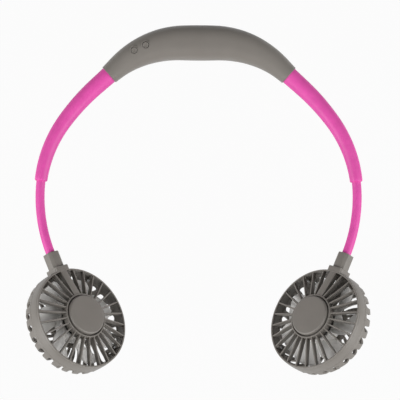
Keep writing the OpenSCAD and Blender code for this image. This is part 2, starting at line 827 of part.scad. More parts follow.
// The wide spoke, an open channel for the motor's leads
module wide_spoke() {
    difference() {
        rotate([90, 0, 90]) translate([0, 0, -spoke_w / 2]) linear_extrude(spoke_w)
            polygon([[hub_ring_r - hub_ring_wall / 2, hub_front_z - vane_sink],
                     [vane_out_r + rim_lip / 2, rim_ahead - vane_sink],
                     [vane_out_r + rim_lip / 2, vane_tip_z],
                     [vane_out_r - seat_gap, vane_tip_z],
                     [vane_out_r - rim_lip, rim_ahead - spoke_depth],
                     [hub_ring_r - hub_ring_wall / 2, hub_front_z - spoke_depth]]);
        rotate([90, 0, 90]) translate([0, 0, -spoke_w / 2 + spoke_t])
            linear_extrude(spoke_w - 2 * spoke_t)
                polygon([[hub_ring_r - 2 * hub_ring_wall, hub_front_z - spoke_t],
                         [head_r, rim_ahead - spoke_t - rim_draw],
                         [head_r, rim_ahead - 2 * spoke_depth],
                         [hub_ring_r - 2 * hub_ring_wall, hub_front_z - 2 * spoke_depth]]);
    }
}

module front_grille() {
    color(body_gray) at_head() difference() {
        union() {
            wall_band(ring_front_z, rim_ahead, rim_lip);
            intersection() {
                at_case_screws() translate([0, 0, case_boss_front_z - case_boss_h])
                    cylinder(r = case_boss_r, h = case_boss_h, $fn = round_sides);
                union() {
                    translate([0, 0, vane_tip_z])
                        cylinder(r = vane_out_r + rim_lip / 2, h = head_depth, $fn = arc_sides);
                    translate([0, 0, -head_depth])
                        cylinder(r = vane_out_r - seat_gap, h = 2 * head_depth, $fn = arc_sides);
                }
            }
            for (i = [1 : vane_count - 1]) rotate([0, 0, 90 + 360 * i / vane_count]) vane();
            wide_spoke();
            hub_ring();
            translate([-neck_shoulder_w / 2, vane_out_r, ring_front_z])
                cube([neck_shoulder_w, neck_shoulder_top_y - vane_out_r,
                      rim_ahead - ring_front_z - seat_gap]);
        }
        translate([-spoke_w / 2 + spoke_t, motor_d / 2 + 2 * motor_skirt_wall,
                   hub_front_z - spoke_depth])
            cube([spoke_w - 2 * spoke_t, hub_ring_r - motor_d / 2, spoke_depth - hub_cap_seat - spoke_t]);
        for (m = [-1, 1]) translate([m * motor_screw_at_r, 0, motor_front_z - overrun])
            cylinder(r = motor_screw_r + seat_gap, h = motor_plate_t + 2 * overrun,
                     $fn = round_sides);
        at_case_screws() translate([0, 0, case_boss_front_z - case_boss_h - overrun])
            cylinder(r = case_screw_r, h = overrun + case_screw_hold + seat_gap, $fn = round_sides);
    }
}

// The hub: its outer ring, the plate that carries the motor, and the skirt round the motor
module hub_ring() {
    translate([0, 0, hub_front_z - hub_ring_h]) difference() {
        cylinder(r = hub_ring_r, h = hub_ring_h, $fn = arc_sides);
        translate([0, 0, -overrun]) cylinder(r = hub_ring_r - hub_ring_wall,
            h = hub_ring_h + 2 * overrun, $fn = arc_sides);
    }
    translate([0, 0, motor_front_z])
        cylinder(r = hub_ring_r - hub_ring_wall / 2, h = motor_plate_t, $fn = arc_sides);
    translate([0, 0, motor_front_z - motor_skirt_h]) difference() {
        cylinder(d = motor_d + 2 * (seat_gap + motor_skirt_wall), h = motor_skirt_h + overrun,
                 $fn = round_sides);
        translate([0, 0, -overrun])
            cylinder(d = motor_d + 2 * seat_gap, h = motor_skirt_h + overrun, $fn = round_sides);
    }
}

// The cap of the hub, with a rounded edge and a skirt that stands on the motor's plate
module hub_cap() {
    top_z = hub_front_z + cap_proud;
    low_z = motor_front_z + motor_plate_t;
    color(body_gray) at_head() rotate_extrude($fn = arc_sides)
        polygon(concat(
            [[0, top_z]],
            [for (i = [0 : corner_steps]) let (t = 90 - 90 * i / corner_steps)
                [cap_r - cap_edge_r + cap_edge_r * cos(t), top_z - cap_edge_r + cap_edge_r * sin(t)]],
            [[cap_r, low_z], [cap_r - cap_t, low_z], [cap_r - cap_t, top_z - cap_edge_r - cap_t / 2],
             [0, top_z - cap_t]]));
}

// The slots swirl the same way on both sides, so the rear cover is not mirrored with its side
module rear_cover(left) {
    back_r = wall_r(back_z) - back_corner_r;
    color(body_gray) at_head() mirror([left ? 1 : 0, 0, 0]) difference() {
        union() {
            difference() {
                rear_shell(back_r);
                for (i = [slots_by_neck : slot_count - 1 - slots_by_neck])
                    rotate([0, 0, 90 + 360 * (i + 0.5) / slot_count]) slot();
            }
            intersection() {
                at_case_screws() translate([0, 0, back_z])
                    cylinder(r = case_boss_r, h = ring_back_z - back_z, $fn = round_sides);
                rear_form(back_r);
            }
        }
        at_case_screws() translate([0, 0, back_z - overrun]) {
            cylinder(r = case_screw_r + seat_gap, h = head_depth, $fn = round_sides);
            cylinder(r = case_screw_head_r + 2 * seat_gap,
                     h = case_screw_recess + case_screw_head_h + overrun, $fn = round_sides);
        }
        neck_seat(shoulder_from_y - back_wall);
    }
}

// The rear cover before its slots are cut
module rear_shell(back_r) {
    in_r = back_corner_r - back_wall;
    rotate_extrude($fn = arc_sides) polygon(concat(
        [for (i = [0 : bulge_steps])
            let (z = ring_back_z + (back_z + back_corner_r - ring_back_z) * i / bulge_steps)
            [wall_r(z), z]],
        [for (i = [1 : corner_steps]) let (t = -90 * i / corner_steps)
            [back_r + back_corner_r * cos(t), back_z + back_corner_r + back_corner_r * sin(t)]],
        [[0, back_z], [0, back_z + back_wall]],
        [for (i = [corner_steps : -1 : 0]) let (t = -90 * i / corner_steps)
            [back_r + in_r * cos(t), back_z + back_corner_r + in_r * sin(t)]],
        [[wall_r(ring_back_z) - back_wall, ring_back_z]]));
}

// The full outer form of the rear cover
module rear_form(back_r) {
    rotate_extrude($fn = arc_sides) polygon(concat(
        [for (i = [0 : corner_steps]) let (t = -90 * i / corner_steps)
            [back_r + back_corner_r * cos(t), back_z + back_corner_r + back_corner_r * sin(t)]],
        [[0, back_z], [0, ring_back_z], [back_r + back_corner_r, ring_back_z]]));
}

// One slot of the rear cover, which swirls outwards and wraps round its corner
module slot() {
    half_turn = 180 / slot_count * slot_share;
    low = back_disc_d / 2;
    far = head_r + overrun;
    translate([0, 0, back_z - overrun]) linear_extrude(slot_top_z - back_z + overrun)
        polygon([for (m = [-1, 1], i = [0 : swirl_steps])
            let (r = low + (far - low) * (m < 0 ? i : swirl_steps - i) / swirl_steps,
                 turn = slot_swirl * (case_boss_at_r - r) / (head_r - low) - slot_lag
                        + m * half_turn)
            [r * cos(turn), r * sin(turn)]]);
}

module motor() {
    color(steel) at_head() difference() {
        translate([0, 0, motor_back_z])
            cylinder(d = motor_d, h = motor_len, $fn = round_sides);
        translate([0, 0, motor_back_z - overrun])
            cylinder(d = shaft_d + 2 * shaft_gap, h = motor_len, $fn = round_sides);
        for (m = [-1, 1]) translate([m * motor_screw_at_r, 0, motor_front_z - motor_screw_len])
            cylinder(r = motor_screw_r + seat_gap / 4, h = motor_screw_len + overrun,
                     $fn = round_sides);
    }
}

module motor_shaft() {
    color("#d0d0d4") at_head() translate([0, 0, hub_back_z])
        cylinder(d = shaft_d, h = motor_front_z - 2 * motor_screw_len / 3 - hub_back_z,
                 $fn = round_sides);
}

// One point of a blade, by its share of the way out and of the way round
function blade_point(out_share, round_share, up) =
    let (r = impeller_hub_d / 2 - blade_sink + (impeller_d - impeller_hub_d + 2 * blade_sink) / 2
             * out_share,
         width = blade_root_turn + (blade_tip_turn - blade_root_turn) * out_share,
         drop = blade_drop + (blade_tip_drop - blade_drop) * out_share,
         turn = blade_sweep_turn * out_share + width * (round_share - 0.5)
                * (1 - blade_narrow_share * pow(out_share, 4)))
    [r * cos(turn), r * sin(turn),
     blade_front_z - drop * (round_share - blade_camber_share * sin(180 * round_share)) - up];

module blade() {
    top = [for (j = [0 : blade_rows - 1], i = [0 : blade_cols - 1])
        blade_point(j / (blade_rows - 1), i / (blade_cols - 1), 0)];
    low = [for (j = [0 : blade_rows - 1], i = [0 : blade_cols - 1])
        blade_point(j / (blade_rows - 1), i / (blade_cols - 1), blade_t)];
    n = blade_cols;
    all = blade_rows * n;
    grid = [for (j = [0 : blade_rows - 2], i = [0 : n - 2]) let (a = j * n + i)
        each [[a, a + 1, a + n], [a + 1, a + n + 1, a + n]]];
    edge = concat([for (i = [0 : n - 2]) [i, i + 1]],
                  [for (j = [0 : blade_rows - 2]) [j * n + n - 1, (j + 1) * n + n - 1]],
                  [for (i = [n - 1 : -1 : 1]) [(blade_rows - 1) * n + i, (blade_rows - 1) * n + i - 1]],
                  [for (j = [blade_rows - 1 : -1 : 1]) [j * n, (j - 1) * n]]);
    polyhedron(points = concat(top, low),
               faces = concat(grid,
                              [for (f = grid) [f[2] + all, f[1] + all, f[0] + all]],
                              [for (e = edge) each [[e[1], e[0], e[0] + all],
                                                    [e[1], e[0] + all, e[1] + all]]]));
}

// The impeller turns the same way on both sides, so it is not mirrored with its side
module impeller(left) {
    color(pale_gray) at_head() mirror([left ? 1 : 0, 0, 0]) {
        difference() {
            translate([0, 0, hub_back_z])
                cylinder(d = impeller_hub_d, h = hub_skirt_front_z - hub_back_z, $fn = arc_sides);
            translate([0, 0, hub_back_z + hub_floor_t]) difference() {
                cylinder(d = impeller_hub_d - 2 * hub_skirt_wall, h = head_depth, $fn = arc_sides);
                cylinder(r = hub_boss_r, h = motor_back_z - hub_boss_gap - hub_back_z - hub_floor_t,
                         $fn = round_sides);
            }
            translate([0, 0, hub_back_z - overrun])
                cylinder(d = shaft_d, h = head_depth, $fn = round_sides);
        }
        for (i = [0 : blade_count - 1]) rotate([0, 0, 360 * i / blade_count]) blade();
    }
}

// Height of the front of the vanes at a distance from the middle
function vane_front(r) =
    hub_front_z - hub_rise * (r - hub_ring_r) / (vane_out_r - hub_ring_r);

// Two leads from the neck, up into the wide spoke and along it to the motor's plate
module motor_leads() {
    spoke_from_y = impeller_d / 2 - 2 * lead_d;
    path = [[neck_axis_drop - ferrule_len - lead_d, 0],
            [shoulder_from_y - lead_d, 0],
            [impeller_d / 2 + lead_d, lead_d],
            [impeller_d / 2, lead_under],
            [spoke_from_y, vane_front(spoke_from_y) - lead_under],
            [hub_ring_r, vane_front(hub_ring_r) - lead_under],
            [motor_d / 2 + motor_skirt_wall + seat_gap + lead_hub_gap + lead_d,
             vane_front(hub_ring_r) - lead_under]];
    last = len(path) - 1;
    color("#2c2c2e") at_head() for (m = [-1, 1]) skin([for (i = [0 : last])
        let (a = path[max(i - 1, 0)], b = path[min(i + 1, last)], p = path[i],
             run = norm(b - a), along = (b - a) / run)
        [for (k = [0 : lead_sides - 1]) let (t = 360 * k / lead_sides)
            [m * lead_side + lead_d / 2 * cos(t),
             p[0] - lead_d / 2 * sin(t) * along[1],
             p[1] + lead_d / 2 * sin(t) * along[0]]]]);
}

module case_screws() {
    head_z = back_z + case_screw_recess;
    color(steel) at_head() at_case_screws() translate([0, 0, head_z]) {
        cylinder(r = case_screw_head_r, h = case_screw_head_h, $fn = round_sides);
        cylinder(r = case_screw_r - seat_gap / 5,
                 h = case_boss_front_z - case_boss_h + case_screw_hold - head_z, $fn = round_sides);
    }
}

module motor_screws() {
    color(steel) at_head() for (m = [-1, 1])
        translate([m * motor_screw_at_r, 0, motor_front_z - motor_screw_len]) {
            cylinder(r = motor_screw_r, h = motor_screw_len + motor_plate_t + motor_screw_head_h,
                     $fn = round_sides);
            translate([0, 0, motor_screw_len + motor_plate_t])
                cylinder(r = 2 * motor_screw_r, h = motor_screw_head_h, $fn = round_sides);
        }
}

upper_shell();
lower_shell();
battery_cell();
battery_cradle();
circuit_board();
tact_switches();
charging_inlet();
power_button();
speed_button();
housing_screws();
battery_leads();
on_side(true) arm_anchor();  // left_arm_anchor
on_side(true) arm_sleeve();  // left_arm_sleeve
on_side(true) hose();  // left_hose
on_side(true) gooseneck_core();  // left_gooseneck_core
on_side(true) hose_leads();  // left_hose_leads
on_side(true) swivel_ferrule();  // left_swivel_ferrule
on_side(true) fan_neck();  // left_fan_neck
on_side(true) casing_ring();  // left_casing_ring
on_side(true) front_grille();  // left_front_grille
on_side(true) hub_cap();  // left_hub_cap
on_side(true) rear_cover(true);  // left_rear_cover
on_side(true) motor();  // left_motor
on_side(true) motor_shaft();  // left_motor_shaft
on_side(true) impeller(true);  // left_impeller
on_side(true) motor_leads();  // left_motor_leads
on_side(true) case_screws();  // left_case_screws
on_side(true) motor_screws();  // left_motor_screws
on_side(false) arm_anchor();  // right_arm_anchor
on_side(false) arm_sleeve();  // right_arm_sleeve
on_side(false) hose();  // right_hose
on_side(false) gooseneck_core();  // right_gooseneck_core
on_side(false) hose_leads();  // right_hose_leads
on_side(false) swivel_ferrule();  // right_swivel_ferrule
on_side(false) fan_neck();  // right_fan_neck
on_side(false) casing_ring();  // right_casing_ring
on_side(false) front_grille();  // right_front_grille
on_side(false) hub_cap();  // right_hub_cap
on_side(false) rear_cover(false);  // right_rear_cover
on_side(false) motor();  // right_motor
on_side(false) motor_shaft();  // right_motor_shaft
on_side(false) impeller(false);  // right_impeller
on_side(false) motor_leads();  // right_motor_leads
on_side(false) case_screws();  // right_case_screws
on_side(false) motor_screws();  // right_motor_screws
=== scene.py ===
"""Looks of a hanging neck fan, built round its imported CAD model.

The frame is the CAD's own: the fan lies on the table at z = 0, +X is the image's right, +Y its top
and +Z points up at the camera. Lengths are metres, and each size is named where it belongs.
"""

import json
import logging
import math
from abc import ABC, abstractmethod
from contextlib import contextmanager
from dataclasses import dataclass
from enum import Enum
from functools import cache
from typing import Callable, Iterable, Iterator, Sequence

import bmesh
import bpy
from bpy.types import Material, Node, NodeSocket, NodeTree, Object
from mathutils import Matrix, Vector


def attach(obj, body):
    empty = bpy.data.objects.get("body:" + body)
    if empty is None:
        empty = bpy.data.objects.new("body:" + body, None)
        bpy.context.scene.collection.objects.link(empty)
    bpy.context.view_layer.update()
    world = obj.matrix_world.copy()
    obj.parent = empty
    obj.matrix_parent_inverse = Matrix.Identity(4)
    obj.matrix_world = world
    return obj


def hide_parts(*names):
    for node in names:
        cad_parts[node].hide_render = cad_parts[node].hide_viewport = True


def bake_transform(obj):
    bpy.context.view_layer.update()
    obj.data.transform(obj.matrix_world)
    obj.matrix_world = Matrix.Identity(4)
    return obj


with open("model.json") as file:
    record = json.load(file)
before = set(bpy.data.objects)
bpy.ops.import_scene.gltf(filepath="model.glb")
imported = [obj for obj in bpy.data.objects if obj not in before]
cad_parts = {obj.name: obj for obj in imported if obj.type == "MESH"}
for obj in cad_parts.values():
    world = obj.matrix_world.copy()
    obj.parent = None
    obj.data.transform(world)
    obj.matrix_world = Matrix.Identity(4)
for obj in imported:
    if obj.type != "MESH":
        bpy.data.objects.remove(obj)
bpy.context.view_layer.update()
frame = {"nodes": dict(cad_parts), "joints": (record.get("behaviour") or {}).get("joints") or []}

MM = 0.001
LOG = logging.getLogger("neck_fan")

# Sockets of a Mix node that mixes colours, which share their names with its other sockets
MIX_SHARE, MIX_FIRST, MIX_SECOND, MIX_RESULT = 0, 6, 7, 2

Point = tuple[float, float]
Colour = tuple[float, float, float]


class Side(Enum):
    """The two arms of the fan, by the side of the image that each lies on."""

    LEFT = "left"
    RIGHT = "right"

    @property
    def sign(self) -> int:
        """Returns -1 for the side at -X and 1 for the side at +X."""
        return -1 if self is Side.LEFT else 1


class Span(Enum):
    """The stretches of an arm, each between two CAD bodies that one joint joins."""

    ROOT = "root"
    MIDDLE = "middle"
    END = "end"


def srgb(red: int, green: int, blue: int) -> Colour:
    """Turns a colour as a photo shows it into the linear colour that a shader takes.

    Args:
        red: Red, 0 to 255.
        green: Green, 0 to 255.
        blue: Blue, 0 to 255.

    Returns:
        The linear colour.
    """
    def linear(value: int) -> float:
        """Returns one channel's linear value."""
        share = value / 255
        return share / 12.92 if share <= 0.04045 else ((share + 0.055) / 1.055) ** 2.4

    return linear(red), linear(green), linear(blue)


class Shop:
    """What the finishes share: the materials made so far, and node groups that are built once.

    Attributes:
        finishes: The materials made so far, by name.
        DRIFT: Detail of the noise behind a drift of colour, and the noise at its two ends.
        WEAR: The same for a change in roughness.
        SPARK: Detail and roughness of the noise in a mould's grain, and the share of its cells.
    """

    finishes: dict[str, Material] = {}
    DRIFT: tuple[float, float, float] = (4, 0.3, 0.7)
    WEAR: tuple[float, float, float] = (5, 0.35, 0.65)
    SPARK: tuple[float, float, float] = (3, 0.6, 0.35)

    @staticmethod
    def group(name: str, inputs: dict[str, str], output: str, kind: str) -> tuple[NodeTree, Node, Node]:
        """Starts a node group.

        Args:
            name: Name of the group.
            inputs: Socket type of each input, by name.
            output: Name of the output.
            kind: Its socket type.

        Returns:
            The group with its input node and its output node.
        """
        tree = bpy.data.node_groups.new(name, "ShaderNodeTree")
        for label, socket in inputs.items():
            tree.interface.new_socket(label, in_out="INPUT", socket_type=socket)
        tree.interface.new_socket(output, in_out="OUTPUT", socket_type=kind)
        return tree, tree.nodes.new("NodeGroupInput"), tree.nodes.new("NodeGroupOutput")

    @staticmethod
    def patches(tree: NodeTree, source: Node, look: tuple[float, float, float]) -> Node:
        """Adds a noise whose middle stretch fills a whole range.

        Args:
            tree: The group's tree.
            source: Its input node, with a vector and a scale.
            look: Detail of the noise, and the noise at the range's two ends.

        Returns:
            The node that gives the result.
        """
        noise, spread = tree.nodes.new("ShaderNodeTexNoise"), tree.nodes.new("ShaderNodeMapRange")
        noise.inputs["Detail"].default_value = look[0]
        spread.inputs["From Min"].default_value = look[1]
        spread.inputs["From Max"].default_value = look[2]
        for label in ("Vector", "Scale"):
            tree.links.new(source.outputs[label], noise.inputs[label])
        tree.links.new(noise.outputs["Fac"], spread.inputs["Value"])
        return spread

    @classmethod
    @cache
    def mottle(cls) -> NodeTree:
        """Builds the group for a colour that drifts a little over a moulding.

        Returns:
            The group.
        """
        tree, source, sink = cls.group("mottle", {"Vector": "NodeSocketVector",
                                                  "Scale": "NodeSocketFloat",
                                                  "Colour": "NodeSocketColor",
                                                  "Other": "NodeSocketColor"},
                                       "Colour", "NodeSocketColor")
        spread = cls.patches(tree, source, cls.DRIFT)
        mix = tree.nodes.new("ShaderNodeMix")
        mix.data_type = "RGBA"
        link = tree.links.new
        link(spread.outputs["Result"], mix.inputs[MIX_SHARE])
        link(source.outputs["Colour"], mix.inputs[MIX_FIRST])
        link(source.outputs["Other"], mix.inputs[MIX_SECOND])
        link(mix.outputs[MIX_RESULT], sink.inputs["Colour"])
        return tree

    @classmethod
    @cache
    def grain(cls) -> NodeTree:
        """Builds the group for the fine height of a spark-eroded mould.

        Returns:
            The group.
        """
        tree, source, sink = cls.group("grain", {"Vector": "NodeSocketVector",
                                                 "Scale": "NodeSocketFloat"},
                                       "Height", "NodeSocketFloat")
        fine, cells = tree.nodes.new("ShaderNodeTexNoise"), tree.nodes.new("ShaderNodeTexVoronoi")
        detail, rough, share = cls.SPARK
        fine.inputs["Detail"].default_value = detail
        fine.inputs["Roughness"].default_value = rough
        height = tree.nodes.new("ShaderNodeMath")
        height.operation = "MULTIPLY_ADD"
        height.inputs[1].default_value = share
        link = tree.links.new
        for texture in (fine, cells):
            link(source.outputs["Vector"], texture.inputs["Vector"])
            link(source.outputs["Scale"], texture.inputs["Scale"])
        link(cells.outputs["Distance"], height.inputs[0])
        link(fine.outputs["Fac"], height.inputs[2])
        link(height.outputs[0], sink.inputs["Height"])
        return tree

    @classmethod
    @cache
    def handling(cls) -> NodeTree:
        """Builds the group for the roughness of a surface that hands have polished in places.

        Returns:
            The group.
        """
        tree, source, sink = cls.group("handling", {"Vector": "NodeSocketVector",
                                                    "Scale": "NodeSocketFloat",
                                                    "Low": "NodeSocketFloat",
                                                    "High": "NodeSocketFloat"},
                                       "Roughness", "NodeSocketFloat")
        spread = cls.patches(tree, source, cls.WEAR)
        link = tree.links.new
        link(source.outputs["Low"], spread.inputs["To Min"])
        link(source.outputs["High"], spread.inputs["To Max"])
        link(spread.outputs["Result"], sink.inputs["Roughness"])
        return tree


@dataclass(frozen=True)
class Finish(ABC):
    """A finish: its name, its colour and how rough it is.

    Attributes:
        name: Name of the material.
        colour: Main linear colour.
        rough: Lowest and highest roughness over the surface.
        tints: Shares of the colour between which it drifts.
        drift_scale: Scale of the drift.
        polish_scale: Scale of the change in roughness.
        relief: Depth in metres and strength of the fine relief.
    """

    name: str
    colour: Colour
    rough: Point = (0.4, 0.5)
    tints: Point = (0.965, 1.035)
    drift_scale: float = 90.0
    polish_scale: float = 55.0
    relief: Point = (0.01 * MM, 0.5)

    def material(self) -> Material:
        """Builds the material on its first use.

        Returns:
            The material.
        """
        if self.name in Shop.finishes:
            return Shop.finishes[self.name]
        made = Shop.finishes[self.name] = bpy.data.materials.new(self.name)
        made.use_nodes = True
        tree = made.node_tree
        shader = tree.nodes["Principled BSDF"]
        place = tree.nodes.new("ShaderNodeTexCoord").outputs["Object"]
        shader.inputs["Base Color"].default_value = (*self.colour, 1)
        self.dress(tree, shader, place)
        return made

    @abstractmethod
    def dress(self, tree: NodeTree, shader: Node, place: NodeSocket) -> None:
        """Adds the finish's own nodes.

        Args:
            tree: The material's nodes.
            shader: Its Principled BSDF.
            place: Where a point of the surface lies.
        """

    def use(self, tree: NodeTree, group: NodeTree, place: NodeSocket, **values: object) -> Node:
        """Places a shared group in a material.

        Args:
            tree: The material's nodes.
            group: The shared group.
            place: Where a point of the surface lies.
            **values: Values of the group's inputs, by name.

        Returns:
            The group's node.
        """
        node = tree.nodes.new("ShaderNodeGroup")
        node.node_tree = group
        tree.links.new(place, node.inputs["Vector"])
        for label, value in values.items():
            node.inputs[label].default_value = value
        return node

    def drift(self, tree: NodeTree, shader: Node, place: NodeSocket) -> None:
        """Lets the colour drift between the finish's two tints.

        Args:
            tree: The material's nodes.
            shader: Its Principled BSDF.
            place: Where a point of the surface lies.
        """
        low, high = self.tints
        mottle = self.use(tree, Shop.mottle(), place, Scale=self.drift_scale,
                          Colour=self.tint(low), Other=self.tint(high))
        tree.links.new(mottle.outputs["Colour"], shader.inputs["Base Color"])

    def polish(self, tree: NodeTree, shader: Node, place: NodeSocket) -> None:
        """Lets the roughness change as where hands have polished the surface.

        Args:
            tree: The material's nodes.
            shader: Its Principled BSDF.
            place: Where a point of the surface lies.
        """
        low, high = self.rough
        worn = self.use(tree, Shop.handling(), place, Scale=self.polish_scale, Low=low, High=high)
        tree.links.new(worn.outputs["Roughness"], shader.inputs["Roughness"])

    def bump(self, tree: NodeTree, shader: Node, height: NodeSocket) -> None:
        """Feeds a height to the shader's normal.

        Args:
            tree: The material's nodes.
            shader: Its Principled BSDF.
            height: The height.
        """
        node = tree.nodes.new("ShaderNodeBump")
        node.inputs["Distance"].default_value, node.inputs["Strength"].default_value = self.relief
        tree.links.new(height, node.inputs["Height"])
        tree.links.new(node.outputs["Normal"], shader.inputs["Normal"])

    def tint(self, share: float) -> tuple[float, float, float, float]:
        """Returns the main colour times a share, as a socket takes it."""
        return tuple(min(c * share, 1) for c in self.colour) + (1,)


@dataclass(frozen=True)
class Moulding(Finish):
    """Moulded plastic with a fine mould grain.

    Attributes:
        grain_scale: Scale of the mould's grain.
        coat: Weight of the gloss over it.
        ior: Index of refraction.
    """

    grain_scale: float = 2600.0
    coat: float = 0.0
    ior: float = 1.5

    def dress(self, tree: NodeTree, shader: Node, place: NodeSocket) -> None:
        """Adds the drift of colour, the polish of hands and the mould's grain.

        Args:
            tree: The material's nodes.
            shader: Its Principled BSDF.
            place: Where a point of the surface lies.
        """
        self.drift(tree, shader, place)
        self.polish(tree, shader, place)
        grain = self.use(tree, Shop.grain(), place, Scale=self.grain_scale)
        self.bump(tree, shader, grain.outputs["Height"])
        shader.inputs["IOR"].default_value = self.ior
        shader.inputs["Coat Weight"].default_value = self.coat


@dataclass(frozen=True)
class Silicone(Moulding):
    """Moulded silicone: faint dust, a satin roughness and a soft, low relief."""

    tints: Point = (1.0, 1.12)
    drift_scale: float = 140.0
    polish_scale: float = 70.0
    relief: Point = (0.02 * MM, 0.25)
    grain_scale: float = 900.0
    ior: float = 1.42


@dataclass(frozen=True)
class Metal(Finish):
    """Bare metal, drawn or turned, with fine lines across its length.

    Attributes:
        lines: Scale of the lines along each axis.
    """

    tints: Point = (0.85, 1.05)
    drift_scale: float = 200.0
    polish_scale: float = 120.0
    relief: Point = (0.005 * MM, 0.3)
    lines: tuple[float, float, float] = (300.0, 300.0, 4000.0)

    def dress(self, tree: NodeTree, shader: Node, place: NodeSocket) -> None:
        """Adds the drawn lines and a stained roughness.

        Args:
            tree: The material's nodes.
            shader: Its Principled BSDF.
            place: Where a point of the surface lies.
        """
        stretch = tree.nodes.new("ShaderNodeMapping")
        stretch.inputs["Scale"].default_value = self.lines
        lines = tree.nodes.new("ShaderNodeTexNoise")
        lines.inputs["Scale"].default_value = 1.0
        lines.inputs["Detail"].default_value = 2
        tree.links.new(place, stretch.inputs["Vector"])
        tree.links.new(stretch.outputs["Vector"], lines.inputs["Vector"])
        self.drift(tree, shader, place)
        self.polish(tree, shader, place)
        shader.inputs["Metallic"].default_value = 1
        self.bump(tree, shader, lines.outputs["Fac"])


@dataclass(frozen=True)
class Laminate(Finish):
    """A circuit board: solder mask over copper tracks.

    Attributes:
        track: Colour of the mask over copper.
        track_scale: Scale of the tracks.
    """

    tints: Point = (0.8, 1.0)
    polish_scale: float = 300.0
    relief: Point = (0.04 * MM, 0.4)
    track: Colour = srgb(58, 128, 84)
    track_scale: float = 420.0

    def dress(self, tree: NodeTree, shader: Node, place: NodeSocket) -> None:
        """Adds the tracks as bricks of masked copper.

        Args:
            tree: The material's nodes.
            shader: Its Principled BSDF.
            place: Where a point of the surface lies.
        """
        low, high = self.tints
        tracks = tree.nodes.new("ShaderNodeTexBrick")
        tracks.inputs["Scale"].default_value = self.track_scale
        tracks.inputs["Mortar Size"].default_value = 0.03
        tracks.inputs["Color1"].default_value = self.tint(high)
        tracks.inputs["Color2"].default_value = self.tint(low)
        tracks.inputs["Mortar"].default_value = (*self.track, 1)
        tree.links.new(place, tracks.inputs["Vector"])
        tree.links.new(tracks.outputs["Color"], shader.inputs["Base Color"])
        self.polish(tree, shader, place)
        self.bump(tree, shader, tracks.outputs["Fac"])


BODY_GRAY = Moulding("body_gray", srgb(131, 126, 120), (0.36, 0.46), tints=(0.975, 1.025))
BUTTON_GRAY = Moulding("button_gray", srgb(124, 119, 113), (0.32, 0.42), tints=(0.975, 1.025))
BLADE_GRAY = Moulding("blade_gray", srgb(245, 243, 240), (0.34, 0.46), tints=(0.98, 1.02))
PALE_NYLON = Moulding("pale_nylon", srgb(222, 216, 204), (0.5, 0.62), tints=(0.975, 1.025))
BLACK_NYLON = Moulding("black_nylon", srgb(44, 42, 40), (0.5, 0.62), tints=(0.94, 1.06))
CELL_WRAP = Moulding("cell_wrap", srgb(62, 122, 176), (0.22, 0.32), tints=(0.97, 1.03), coat=0.3)
PINK_SILICONE = Silicone("satin_pink_silicone", srgb(228, 84, 172), (0.4, 0.52))
BLACK_LEAD = Silicone("black_lead_skin", srgb(34, 32, 32), (0.42, 0.55))
RED_LEAD = Silicone("red_lead_skin", srgb(168, 40, 34), (0.42, 0.55))
BRIGHT_STEEL = Metal("bright_steel", (0.56, 0.56, 0.57), (0.22, 0.36))
MOTOR_CAN = Metal("drawn_motor_can", (0.5, 0.49, 0.48), (0.26, 0.42))
CORE_WIRE = Metal("core_wire", (0.7, 0.7, 0.7), (0.3, 0.45), lines=(2500.0, 2500.0, 300.0))
BOARD_GREEN = Laminate("board_green", srgb(30, 92, 56), (0.25, 0.4))


